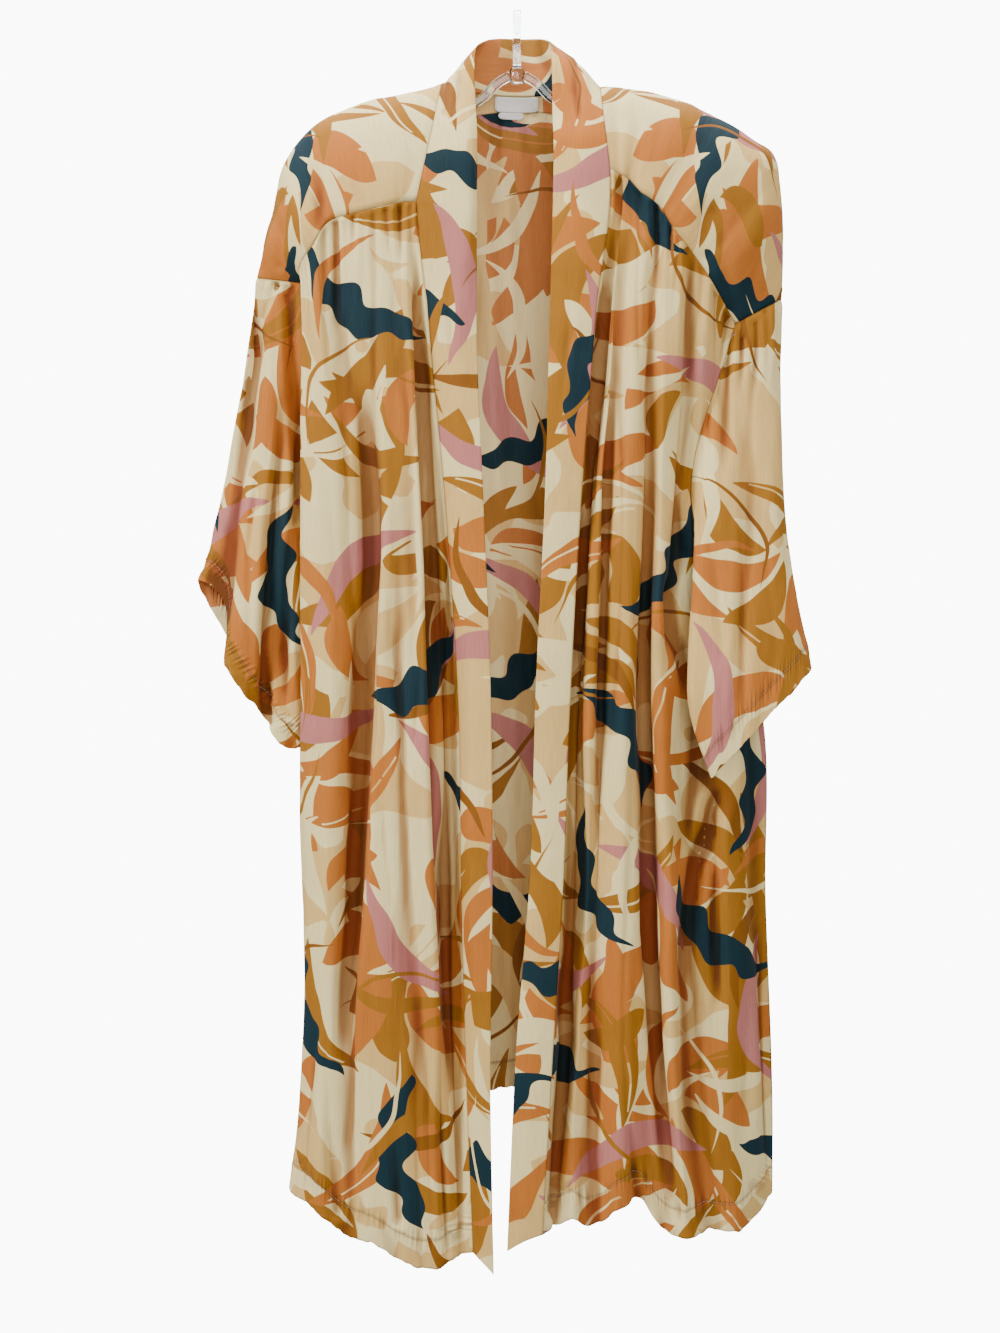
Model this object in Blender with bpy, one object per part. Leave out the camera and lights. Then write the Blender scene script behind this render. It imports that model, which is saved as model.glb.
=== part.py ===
"""Kimono coat on a clear plastic hanger, built as a maker cuts it.

Every cloth piece is a grid of points on one shared surface, so neighbours meet along the same
points at a seam. Each grid then gets a wall of even thickness, and its sewn edges are drawn back
until the walls of two neighbours stand one seam gap apart, also where they meet at a sharp fold.

Sizes are millimetres until a mesh is written. X runs to the viewer's right, Z up, and the open
front faces -Y. The origin is the inside top of the hook, where a rail would carry it.
The tables hold sizes as the photo shows them at the middle plane, y = 0. Nearer cloth looks
larger from the camera, so true_place brings each point back to its real place.
"""
import math

import bmesh
import bpy
from mathutils import Vector

MM = 0.001
NAME = "kimono_coat"

WALL = 1.6
SEAM_GAP = 0.3
SEAM_BACK_MOST = 3.5
CORNER_BACK = 2.0
MITRE_MOST = 2.2
VIEW_DISTANCE = 2000.0
EYE_LEVEL = -584.5
EYE_SIDE = -15.3

FOLD_STEPS = 2
ROWS_TO_UNDERARM = 5
ROWS_TO_HEM = 11
YOKE_STEPS = 5
NECK_STEPS = 6
SLEEVE_ROWS = 9
BAND_STEPS = 4
RING_STEPS = 4 * YOKE_STEPS
TABLE_RING_STEPS = 20

# Heights at which the folds of the fronts are measured
LEVELS = (-165, -255, -435, -615, -795, -975, -1140)

# Fold, top z, hem z, then x and y at each level, from the band to the side
LEFT_FOLDS = (
    ("band seam", -166, -1112, (-91, -34), (-81, -34), (-65, -34), (-53, -36), (-50, -38), (-45, -38), (-39, -36)),
    ("recess", -166, -1114, (-99, -35), (-88, -34), (-76, -25), (-68, -20), (-64, -20), (-57, -25), (-51, -33)),
    ("roll", -167, -1122, (-107, -37), (-96, -42), (-86, -49), (-79, -50), (-73, -50), (-66, -45), (-62, -41)),
    ("chest", -170, -1126, (-120, -39), (-106, -44), (-99, -47), (-98, -48), (-96, -49), (-92, -46), (-90, -43)),
    ("crest", -177, -1104, (-150, -38), (-137, -42), (-121, -46), (-127, -46), (-134, -46), (-138, -43), (-130, -40)),
    ("long valley", -185, -1096, (-172, -36), (-160, -34), (-134, -28), (-138, -27), (-147, -28), (-151, -33), (-155, -36)),
    ("flank", -205, -1075, (-185, -38), (-180, -41), (-166, -43), (-168, -43), (-173, -43), (-174, -40), (-186, -39)),
    ("side fold", -225, -1056, (-195, -27), (-196, -27), (-196, -26), (-196, -24), (-194, -20), (-193, -16), (-214, -14)),
    ("side seam", -240, -1050, (-188, -8), (-187, -8), (-166, 2), (-158, 3), (-182, 6), (-187, 8), (-204, 10)),
)
RIGHT_FOLDS = (
    ("band seam", -136, -1096, (84, -42), (72, -47), (58, -50), (48, -52), (41, -54), (30, -54), (22, -52)),
    ("recess", -140, -1087, (90, -40), (79, -37), (66, -31), (56, -27), (50, -25), (39, -30), (33, -41)),
    ("pleat", -143, -1083, (96, -41), (86, -42), (75, -45), (67, -46), (62, -44), (52, -43), (48, -44)),
    ("slit", -147, -1090, (102, -39), (93, -39), (83, -38), (78, -36), (72, -36), (68, -38), (66, -40)),
    ("chest", -157, -1074, (111, -42), (103, -45), (97, -48), (94, -49), (92, -50), (91, -50), (92, -48)),
    ("flute", -163, -1066, (120, -42), (112, -44), (106, -44), (106, -43), (108, -43), (110, -44), (111, -37)),
    ("valley", -172, -1094, (130, -40), (121, -37), (114, -32), (116, -28), (121, -27), (127, -32), (135, -42)),
    ("crest", -191, -1101, (143, -41), (136, -44), (129, -45), (131, -43), (136, -42), (143, -44), (156, -47)),
    ("slant valley", -212, -1092, (158, -38), (156, -34), (141, -27), (160, -20), (154, -25), (158, -31), (176, -36)),
    ("flank", -238, -1092, (175, -34), (174, -31), (149, -23), (192, -13), (196, -18), (198, -23), (203, -27)),
    ("side seam", -276, -1058, (200, -14), (200, -14), (157, -19), (219, 9), (224, 5), (230, 2), (229, 0)),
)
LEFT_UNDERARM = -417
RIGHT_UNDERARM = -435

# Shoulder line from the neck over the end of the hanger to the top of the armhole: x, z
LEFT_SHOULDER = (
    (-68, -60), (-83, -65), (-110, -71), (-131, -75), (-155, -83), (-177, -95),
    (-195, -112), (-209, -133), (-217, -160), (-224, -194), (-234, -235),
)
RIGHT_SHOULDER = (
    (75, -63), (94, -64), (122, -68), (152, -77), (168, -85), (196, -99),
    (214, -112), (229, -123), (236, -142), (239, -190), (238, -254),
)
# Neckline round the back: x, y, z
BACK_NECK = (
    (-68, 0, -60), (-53, 22, -66), (-27, 35, -70), (4, 39, -72), (33, 35, -70), (59, 22, -67), (75, 0, -63),
)
# Seam between the yoke and the back, from the neck to the armhole: x, y, z
LEFT_BACK_SEAM = ((-76, 36, -96), (-115, 35, -112), (-155, 33, -146), (-180, 29, -190), (-190, 20, -242))
RIGHT_BACK_SEAM = ((83, 36, -97), (125, 35, -115), (165, 33, -150), (190, 29, -205), (203, 20, -278))
BACK_SEAM_CENTRE = (4, 40, -85)

# The back below the underarm: height, left x, right x, y of the cloth, depth of its folds
BACK_LEVELS = (
    (-400, -172, 164, 34, 1.5),
    (-615, -172, 206, 38, 4.0),
    (-795, -188, 220, 44, 6.0),
    (-975, -190, 224, 48, 8.0),
    (-1060, -196, 224, 50, 9.0),
)
BACK_TURN = 0.55
ARMHOLE_ROUND = 2.5
FLUTE_CHANGE = 0.83
FLUTE_VARY = 0.3
BACK_HEM_CENTRE = -962
BACK_HEM_LEFT = -1050
BACK_HEM_RIGHT = -1058

# Band, from each hem up to the neck: row of the seam it belongs to, crease x, y, z, free edge x, y, z
LEFT_BAND = (
    ("hem", (-30, -47, -1122), (-21, -50, -1132)),
    ("knee", (-35, -49, -948), (-24, -52, -950)),
    ("thigh", (-41, -50, -768), (-22, -52, -770)),
    ("hip", (-41, -48, -592), (-24, -50, -593)),
    ("underarm", (-49, -45, -418), (-31, -47, -418)),
    ("chest", (-55, -44, -291), (-36, -42, -291)),
    ("yoke seam", (-46, -43, -165), (-36, -36, -165)),
    ("collar bone", (-47, -36, -108), (-36, -29, -106)),
    ("neck point", (-52, -6, -50), (-38, -9, -37)),
    ("neck side", (-41, 23, -44), (-28, 24, -21)),
    ("neck back", (4, 38, -46), (4, 34, -20)),
)
RIGHT_BAND = (
    ("hem", (7, -54, -1102), (-9, -52, -1111)),
    ("knee", (15, -56, -930), (-1, -54, -934)),
    ("thigh", (27, -56, -764), (12, -54, -766)),
    ("hip", (33, -54, -600), (17, -53, -601)),
    ("underarm", (41, -52, -435), (25, -50, -435)),
    ("chest", (50, -50, -286), (29, -46, -286)),
    ("yoke seam", (59, -44, -136), (33, -38, -136)),
    ("collar bone", (60, -33, -90), (32, -27, -88)),
    ("neck point", (56, -6, -44), (31, -9, -33)),
    ("neck side", (44, 23, -42), (28, 24, -21)),
    ("neck back", (4, 38, -46), (4, 34, -20)),
)

# Sleeves: a row for each fold, with its step round the ring, then x, y, z at three rings and at the cuff
LEFT_SLEEVE = (
    ("outer fold", 0, (-245, 4, -318), (-262, 6, -417), (-274, 8, -471), (-287, 8, -509)),
    ("notch", 1, (-236, 5, -318), (-250, 1, -427), (-257, 1, -482), (-261, 3, -529)),
    ("turned crest", 2, (-226, -10, -330), (-242, -15, -440), (-252, -20, -515), (-266, -22, -577)),
    ("face", 4, (-216, -11, -340), (-224, -15, -460), (-234, -20, -540), (-246, -21, -608)),
    ("valley", 6, (-207, -7, -355), (-208, -10, -480), (-217, -8, -570), (-228, -6, -628)),
    ("inner crest", 8, (-198, 0, -392), (-194, -6, -500), (-200, -11, -590), (-209, -14, -656)),
    ("inner fold", 10, (-179, 10, -440), (-174, 10, -525), (-173, 10, -590), (-178, 8, -648)),
    ("back face", 13, (-202, 16, -372), (-200, 20, -495), (-206, 21, -572), (-212, 21, -622)),
    ("back outer", 17, (-230, 14, -330), (-243, 19, -440), (-253, 22, -505), (-262, 22, -556)),
)
RIGHT_SLEEVE = (
    ("outer fold", 0, (237, -4, -345), (244, -14, -462), (254, -22, -525), (266, -27, -586)),
    ("front outer", 2, (228, -20, -360), (236, -31, -480), (246, -38, -545), (257, -42, -597)),
    ("front face", 5, (197, -32, -405), (201, -47, -520), (207, -54, -580), (220, -56, -636)),
    ("front inner", 8, (170, -42, -446), (164, -55, -564), (165, -60, -616), (183, -62, -676)),
    ("inner fold", 10, (160, -36, -470), (154, -49, -579), (156, -52, -628), (175, -54, -685)),
    ("back inner", 12, (171, -28, -446), (165, -41, -564), (166, -42, -616), (183, -44, -676)),
    ("back face", 15, (205, -6, -400), (201, -20, -520), (207, -29, -580), (220, -32, -636)),
    ("back outer", 18, (230, 6, -360), (236, -7, -480), (246, -15, -545), (257, -20, -597)),
)

# Clear hanger: middle line of each arm from the hub outwards, x and z. Under the yoke it keeps
# ARM_DROP below the shoulder line, from one row of the shoulder table to another.
ARM_RADIUS = 4.3
ARM_DROP = 7.0
ARM_STEPS = 18
LEFT_ARM = ((-6, -53), (-18, -60), (-31, -73), (-48, -81), (-70, -81))
LEFT_ARM_ROWS = (2, 7)
RIGHT_ARM = ((6, -53), (18, -60), (31, -73), (48, -81), (76, -80))
RIGHT_ARM_ROWS = (2, 7)
HUB_RADIUS = 6.0
HUB_TOP = -46.0
HUB_BOTTOM = -60.0
HOOK_WIRE = 3.2
HOOK_INSIDE = 14.0
HOOK_TIP_ANGLE = -20.0
HOOK_STEM_ANGLE = 215.0
HOOK_FOOT = 4.0
HOOK_STEPS = 14

# Blank label sewn in at the back of the neck
LABEL_LEFT = -20.0
LABEL_RIGHT = 20.0
LABEL_START = 1.0
LABEL_DROP = 14.0
LABEL_THICK = 1.0
LABEL_SETBACK = 0.55
LABEL_STEPS = 5
LABEL_COLOUR = (0.9, 0.9, 0.88)
TAB_LEFT = -17.0
TAB_RIGHT = 7.0
TAB_DROP = 6.0

CLOTH_COLOURS = {
    "back_panel": (0.70, 0.55, 0.36), "yoke": (0.62, 0.30, 0.12), "front_left": (0.78, 0.68, 0.50),
    "front_right": (0.76, 0.62, 0.42), "sleeve_left": (0.50, 0.27, 0.07), "sleeve_right": (0.60, 0.34, 0.14),
    "front_band": (0.74, 0.60, 0.42),
}


def clear_scene():
    for item in list(bpy.data.objects):
        bpy.data.objects.remove(item, do_unlink=True)


def blend(a, b, share):
    return a + (b - a) * share


def catmull(p0, p1, p2, p3, t):
    """Smooth curve through p1 and p2; works on numbers and vectors."""
    linear = (p2 - p0) * t
    square = (p0 * 2 - p1 * 5 + p2 * 4 - p3) * (t * t)
    cube = (p1 * 3 - p0 - p2 * 3 + p3) * (t * t * t)
    return p1 + (linear + square + cube) * 0.5


def along(points, place):
    """Point at a place from 0 to len(points) - 1 on the smooth curve through them."""
    last = len(points) - 1
    index = min(int(place), last - 1)
    before = points[max(index - 1, 0)]
    after = points[min(index + 2, last)]
    return catmull(before, points[index], points[index + 1], after, place - index)


def by_length(points, shares, fineness=12):
    """Points on the smooth curve at shares of its length."""
    count = (len(points) - 1) * fineness
    fine = [along(points, step / fineness) for step in range(count + 1)]
    lengths = [0.0]
    for step in range(count):
        lengths.append(lengths[-1] + (fine[step + 1] - fine[step]).length)
    found = []
    for share in shares:
        target = share * lengths[-1]
        step = 0
        while step < count - 1 and lengths[step + 1] < target:
            step += 1
        span = lengths[step + 1] - lengths[step]
        found.append(fine[step].lerp(fine[step + 1], (target - lengths[step]) / span))
    return found


def at_level(levels, values, z):
    """Value of a table at height z, smooth between its levels."""
    last = len(levels) - 1
    if z >= levels[0]:
        return values[0]
    if z <= levels[last]:
        return values[last]
    index = 0
    while levels[index + 1] > z:
        index += 1
    share = (levels[index] - z) / (levels[index] - levels[index + 1])
    before = values[max(index - 1, 0)]
    after = values[min(index + 2, last)]
    return catmull(before, values[index], values[index + 1], after, share)


def row_shares():
    """Rows of a body panel: which stretch each is in and its share of that stretch."""
    upper = [(0, row / ROWS_TO_UNDERARM) for row in range(ROWS_TO_UNDERARM)]
    lower = [(1, row / ROWS_TO_HEM) for row in range(ROWS_TO_HEM + 1)]
    return upper + lower


def row_height(stretch, share, top, underarm, hem):
    if stretch == 0:
        return blend(top, underarm, share)
    return blend(underarm, hem, share)


def front_grid(folds, underarm):
    """Gathered front: a column for each fold and FOLD_STEPS - 1 between."""
    rows = []
    for stretch, share in row_shares():
        ring = []
        for name, top, hem, *places in folds:
            z = row_height(stretch, share, top, underarm, hem)
            spots = [Vector((x, y)) for x, y in places]
            spot = at_level(LEVELS, spots, z)
            ring.append(Vector((spot.x, spot.y, z)))
        columns = (len(ring) - 1) * FOLD_STEPS
        rows.append([along(ring, column / FOLD_STEPS) for column in range(columns + 1)])
    return rows


def chord_shares(points):
    """Share of the whole length that each point of a row has reached."""
    lengths = [0.0]
    for before, after in zip(points, points[1:]):
        lengths.append(lengths[-1] + (after - before).length)
    return [length / lengths[-1] for length in lengths]


def back_top(left_count, right_count):
    """Top row of the back, from the left armhole past the neck to the right armhole."""
    left = [Vector(p) for p in LEFT_BACK_SEAM]
    right = [Vector(p) for p in RIGHT_BACK_SEAM]
    left_row = by_length(left, [step / left_count for step in range(left_count + 1)])
    right_row = by_length(right, [step / right_count for step in range(right_count + 1)])
    middle = by_length([left[0], Vector(BACK_SEAM_CENTRE), right[0]],
                       [step / NECK_STEPS for step in range(1, NECK_STEPS)])
    return left_row[::-1] + middle + right_row


def back_spot(column, count, z, side_y):
    """Place of the hanging back at one column and height: a turn at each side, gentle flutes between."""
    levels = [row[0] for row in BACK_LEVELS]
    left, right, depth, flute = (at_level(levels, [row[k] for row in BACK_LEVELS], z) for k in (1, 2, 3, 4))
    share = (column - 1) / (count - 2)
    if column in (1, count - 1):
        return Vector((blend(left, right, share), blend(side_y, depth, BACK_TURN), z))
    wave = math.cos(math.pi * (column - 1) / FOLD_STEPS) * (1 - FLUTE_VARY + FLUTE_VARY * math.cos(column * FLUTE_CHANGE))
    return Vector((blend(left, right, share), depth - flute * wave, z))


def back_grid(left_front, right_front):
    """Back panel. Its sides below the underarm are the fronts' own side seams."""
    left_count = len(left_front[0]) - 1
    right_count = len(right_front[0]) - 1
    top = back_top(left_count, right_count)
    count = len(top) - 1
    rows = []
    for row, (stretch, share) in enumerate(row_shares()):
        points = []
        for column, start in enumerate(top):
            across = column / count
            underarm = blend(LEFT_UNDERARM, RIGHT_UNDERARM, across)
            arch = 4 * across * (1 - across)
            side_hem = blend(BACK_HEM_LEFT, BACK_HEM_RIGHT, across)
            hem = blend(side_hem, BACK_HEM_CENTRE, arch)
            z = row_height(stretch, share, start.z, underarm, hem)
            side = left_front if across < 0.5 else right_front
            hung = back_spot(column, count, z, side[row][-1].y)
            settled = share if stretch == 0 else 1.0
            points.append(Vector((blend(start.x, hung.x, settled), blend(start.y, hung.y, settled), z)))
        if stretch == 0:
            for end, front in ((0, left_front), (-1, right_front)):
                under = front[ROWS_TO_UNDERARM][-1]
                points[end] = top[end].lerp(under, share)
                points[end].y = blend(top[end].y, under.y, share ** ARMHOLE_ROUND)
        else:
            points[0] = left_front[row][-1].copy()
            points[-1] = right_front[row][-1].copy()
        rows.append(points)
    return rows


def over_shoulder(front, ridge, back):
    """Line of the yoke from its front edge over the shoulder line to its back edge."""
    line = []
    for step in range(YOKE_STEPS + 1):
        rise = math.sin(0.5 * math.pi * step / YOKE_STEPS)
        spot = front.lerp(ridge, rise)
        spot.y = ridge.y + (front.y - ridge.y) * math.sqrt(max(0.0, 1 - rise * rise))
        line.append(spot)
    for step in range(1, YOKE_STEPS + 1):
        rise = math.cos(0.5 * math.pi * step / YOKE_STEPS)
        spot = back.lerp(ridge, rise)
        spot.y = ridge.y + (back.y - ridge.y) * math.sqrt(max(0.0, 1 - rise * rise))
        line.append(spot)
    return line


def yoke_grid(front_row, shoulder, back_row):
    """Yoke over one shoulder: a column for each column of the front below it."""
    ridge = by_length([Vector((x, 0, z)) for x, z in shoulder], chord_shares(front_row))
    lines = [over_shoulder(front_row[i], ridge[i], back_row[i]) for i in range(len(front_row))]
    return [[line[step] for line in lines] for step in range(2 * YOKE_STEPS + 1)]


def neck_grid(left_line, right_line, back_row):
    """Strip of the yoke behind the neck, between the two shoulders."""
    neck = by_length([Vector(p) for p in BACK_NECK], [step / NECK_STEPS for step in range(NECK_STEPS + 1)])
    lines = []
    for column in range(NECK_STEPS + 1):
        lines.append(over_shoulder(neck[column], neck[column], back_row[column])[YOKE_STEPS:])
    lines[0] = left_line
    lines[-1] = right_line
    return [[line[step] for line in lines] for step in range(YOKE_STEPS + 1)]


def armhole_ring(yoke, front, back, back_column):
    """Closed ring of the armhole from the shoulder, down the front, up the back."""
    ring = [yoke[step][-1] for step in range(YOKE_STEPS, 0, -1)]
    ring += [front[row][-1] for row in range(ROWS_TO_UNDERARM)]
    ring += [back[row][back_column] for row in range(ROWS_TO_UNDERARM, 0, -1)]
    ring += [yoke[step][-1] for step in range(2 * YOKE_STEPS, YOKE_STEPS, -1)]
    return ring


def closed_ring(steps, points, count):
    """Ring of count points on the closed smooth curve through points placed at their steps."""
    extended_steps = [steps[-1] - count] + list(steps) + [count, count + steps[1]]
    extended = [points[-1]] + list(points) + [points[0], points[1]]
    ring = []
    for step in range(count):
        index = 1
        while extended_steps[index + 1] <= step:
            index += 1
        share = (step - extended_steps[index]) / (extended_steps[index + 1] - extended_steps[index])
        ring.append(catmull(extended[index - 1], extended[index], extended[index + 1], extended[index + 2], share))
    return ring


def sleeve_grid(armhole, table):
    """Sleeve from the armhole through its rings to the cuff; each row is closed."""
    steps = [row[1] for row in table]
    scale = RING_STEPS / TABLE_RING_STEPS
    rings = [armhole]
    for ring in range(4):
        points = [Vector(row[2 + ring]) for row in table]
        rings.append(closed_ring([step * scale for step in steps], points, RING_STEPS))
    rows = []
    for row in range(SLEEVE_ROWS + 1):
        place = row / SLEEVE_ROWS * (len(rings) - 1)
        rows.append([along([ring[k] for ring in rings], place) for k in range(RING_STEPS)])
    return rows


def band_side(table, other_table, seam, stations):
    """Rows of the band along one side, from the hem to the middle of the back neck."""
    crease = [Vector(row[1]) for row in table] + [Vector(other_table[-2][1])]
    edge = [Vector(row[2]) for row in table] + [Vector(other_table[-2][2])]
    rows = []
    for index, start in enumerate(seam):
        station = 0
        while station < len(stations) - 2 and stations[station + 1] <= index:
            station += 1
        share = (index - stations[station]) / (stations[station + 1] - stations[station])
        cross = [start, along(crease, station + share), along(edge, station + share)]
        rows.append([along(cross, 2 * step / BAND_STEPS) for step in range(BAND_STEPS + 1)])
    return rows


def seam_of_side(front, yoke, neck_half):
    """Points of one side of the band's seam and the rows at which the band's table has its rows."""
    seam = [row[0] for row in reversed(front)]
    seam += [yoke[step][0] for step in range(1, YOKE_STEPS + 1)]
    seam += neck_half
    stations = [round(ROWS_TO_HEM * quarter / 4) for quarter in range(5)]
    stations += [ROWS_TO_HEM + ROWS_TO_UNDERARM // 2, ROWS_TO_HEM + ROWS_TO_UNDERARM]
    yoke_start = stations[-1]
    stations += [yoke_start + YOKE_STEPS // 2, yoke_start + YOKE_STEPS]
    stations += [stations[-1] + len(neck_half) // 2, stations[-1] + len(neck_half)]
    return seam, stations


def true_place(point):
    """Real place of a point read off the photo at the middle plane."""
    scale = 1 + point.y / VIEW_DISTANCE
    return Vector((blend(EYE_SIDE, point.x, scale), point.y, blend(EYE_LEVEL, point.z, scale)))


class Sheet:
    """One cut piece: grids of points, which sides are sewn, and which way is out."""

    def __init__(self, name):
        self.name = name
        self.grids = []

    def add(self, rows, flip, sewn, closed=False):
        rows = [[true_place(point) for point in row] for row in rows]
        self.grids.append((rows, flip, sewn, closed))
        return rows


def spot_key(point):
    return (round(point.x, 2), round(point.y, 2), round(point.z, 2))


def quads(rows, flip, closed):
    """Corner indices (row, column) of each quad, wound so that its normal points out."""
    columns = len(rows[0])
    last = columns if closed else columns - 1
    for row in range(len(rows) - 1):
        for column in range(last):
            right = (column + 1) % columns
            corners = [(row, column), (row, right), (row + 1, right), (row + 1, column)]
            yield corners[::-1] if flip else corners


def square_to(move, tangent):
    """Part of a move that is square to the seam, as a unit vector."""
    tangent = tangent.normalized()
    return (move - tangent * move.dot(tangent)).normalized()


def seam_moves(rows, row, column, sewn, closed):
    """Unit moves from a point on sewn sides into its own piece, square to each seam."""
    point = rows[row][column]
    last_row = len(rows) - 1
    last_column = len(rows[0]) - 1
    before = column - 1 if closed else max(column - 1, 0)
    after = (column + 1) % len(rows[0]) if closed else min(column + 1, last_column)
    along_row = rows[row][after] - rows[row][before]
    along_column = rows[min(row + 1, last_row)][column] - rows[max(row - 1, 0)][column]
    moves = []
    if "top" in sewn and row == 0:
        moves.append(square_to(rows[1][column] - point, along_row))
    if "bottom" in sewn and row == last_row:
        moves.append(square_to(rows[last_row - 1][column] - point, along_row))
    if "first" in sewn and column == 0:
        moves.append(square_to(rows[row][1] - point, along_column))
    if "last" in sewn and column == last_column:
        moves.append(square_to(rows[row][last_column - 1] - point, along_column))
    return moves


def moves_of(sheet):
    """Moves of every sewn point of one piece."""
    found = {}
    for rows, flip, sewn, closed in sheet.grids:
        for row in range(len(rows)):
            for column in range(len(rows[0])):
                moves = seam_moves(rows, row, column, sewn, closed)
                if moves:
                    found.setdefault(spot_key(rows[row][column]), moves)
    return found


def draw_back(move, neighbours):
    """How far one piece is drawn back from a seam, by the sharpest angle to its neighbours there."""
    angle = min(move.angle(other) for moves in neighbours for other in moves)
    half = max(angle / 2, 0.05)
    back = (WALL / 2) / math.tan(half) + (SEAM_GAP / 2) / math.sin(half)
    least = CORNER_BACK if len(neighbours) > 1 else 0.0
    return min(max(back, least), SEAM_BACK_MOST)


def wall_offsets(sheet, sewn_points):
    """Half the wall at every point: the mean normal, longer where the faces meet at a fold."""
    faces = {}
    for rows, flip, sewn, closed in sheet.grids:
        for corners in quads(rows, flip, closed):
            a, b, c, d = (rows[r][k] for r, k in corners)
            normal = (c - a).cross(d - b)
            for r, k in corners:
                faces.setdefault(spot_key(rows[r][k]), []).append(normal)
    offsets = {}
    for key, normals in faces.items():
        mean = sum(normals, Vector()).normalized()
        lean = sum(mean.dot(normal.normalized()) for normal in normals) / len(normals)
        mitre = 1.0 if key in sewn_points else min(MITRE_MOST, 1 / max(lean, 0.1))
        offsets[key] = mean * (WALL / 2 * mitre)
    return offsets


def cloth_object(sheet, seams, collection):
    """Closed wall of one piece: outer and inner points of its grids and the faces round its rim."""
    mesh = bpy.data.meshes.new(sheet.name)
    work = bmesh.new()
    offsets = wall_offsets(sheet, seams[sheet.name])
    found = {}

    def corner_pair(point):
        key = spot_key(point)
        if key not in found:
            neighbours = [moves[key] for name, moves in seams.items() if name != sheet.name and key in moves]
            place = point.copy()
            if neighbours:
                for move in seams[sheet.name].get(key, []):
                    place += move * draw_back(move, neighbours)
            out = offsets[key]
            found[key] = (work.verts.new((place + out) * MM), work.verts.new((place - out) * MM))
        return found[key]

    rim = {}
    for rows, flip, sewn, closed in sheet.grids:
        for corners in quads(rows, flip, closed):
            pairs = [corner_pair(rows[r][k]) for r, k in corners]
            work.faces.new([pair[0] for pair in pairs])
            work.faces.new([pair[1] for pair in reversed(pairs)])
            for a, b in zip(pairs, pairs[1:] + pairs[:1]):
                if (b[0], a[0]) in rim:
                    del rim[(b[0], a[0])]
                else:
                    rim[(a[0], b[0])] = (a, b)
    for a, b in rim.values():
        work.faces.new((b[0], a[0], a[1], b[1]))
    work.normal_update()
    work.to_mesh(mesh)
    work.free()
    item = bpy.data.objects.new(sheet.name, mesh)
    collection.objects.link(item)
    return item


def give_material(item, colour, roughness, clear=0.0):
    material = bpy.data.materials.new(item.name)
    material.use_nodes = True
    shader = material.node_tree.nodes["Principled BSDF"]
    shader.inputs["Base Color"].default_value = (*colour, 1.0)
    shader.inputs["Roughness"].default_value = roughness
    shader.inputs["Metallic"].default_value = 0.0
    shader.inputs["Transmission Weight"].default_value = clear
    item.data.materials.append(material)


def tube_object(name, points, radius, collection):
    """Solid rod of round section along a smooth path."""
    curve = bpy.data.curves.new(name, "CURVE")
    curve.dimensions = "3D"
    curve.bevel_depth = radius * MM
    curve.bevel_resolution = 3
    curve.use_fill_caps = True
    spline = curve.splines.new("POLY")
    spline.points.add(len(points) - 1)
    for slot, point in zip(spline.points, points):
        slot.co = (*(point * MM), 1.0)
    item = bpy.data.objects.new(name, curve)
    collection.objects.link(item)
    return item


def join_solids(main, others):
    """Union of overlapping solids, with the extra ones removed afterwards."""
    for index, other in enumerate(others):
        cut = main.modifiers.new(f"join {index}", "BOOLEAN")
        cut.operation = "UNION"
        cut.object = other
    bpy.context.view_layer.update()
    graph = bpy.context.evaluated_depsgraph_get()
    mesh = bpy.data.meshes.new_from_object(main.evaluated_get(graph))
    main.modifiers.clear()
    main.data = mesh
    for other in others:
        bpy.data.objects.remove(other, do_unlink=True)


def as_mesh(item):
    """Curve object turned into a welded mesh object of the same name and place."""
    bpy.context.view_layer.update()
    graph = bpy.context.evaluated_depsgraph_get()
    mesh = bpy.data.meshes.new_from_object(item.evaluated_get(graph))
    work = bmesh.new()
    work.from_mesh(mesh)
    bmesh.ops.remove_doubles(work, verts=work.verts, dist=1e-6)
    work.to_mesh(mesh)
    work.free()
    name = item.name
    solid = bpy.data.objects.new(name + "_mesh", mesh)
    solid.matrix_world = item.matrix_world.copy()
    for collection in item.users_collection:
        collection.objects.link(solid)
    bpy.data.objects.remove(item, do_unlink=True)
    solid.name = name
    return solid


def arm_points(near_hub, shoulder, rows):
    """Middle line of one arm: the stretch at the neck, then the run below the shoulder line."""
    path = [Vector((x, 0, z)) for x, z in near_hub]
    ridge = [Vector((x, 0, z)) for x, z in shoulder]
    for row in range(*rows):
        slope = (ridge[row + 1] - ridge[row - 1]).normalized()
        below = Vector((slope.z, 0, -slope.x))
        if below.z > 0:
            below.negate()
        path.append(ridge[row] + below * ARM_DROP)
    return [true_place(point) for point in by_length(path, [step / ARM_STEPS for step in range(ARM_STEPS + 1)])]


def hook_points():
    """Hook seen edge on: stem up from the hub, round the back, over the top and down the front."""
    radius = HOOK_INSIDE + HOOK_WIRE
    centre = -HOOK_INSIDE
    points = [Vector((0, 0, HUB_TOP + SEAM_GAP)), Vector((0, 0, HUB_TOP + HOOK_FOOT))]
    for step in range(HOOK_STEPS + 1):
        angle = math.radians(blend(HOOK_STEM_ANGLE, HOOK_TIP_ANGLE, step / HOOK_STEPS))
        points.append(Vector((0, -radius * math.cos(angle), centre + radius * math.sin(angle))))
    return points


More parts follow.
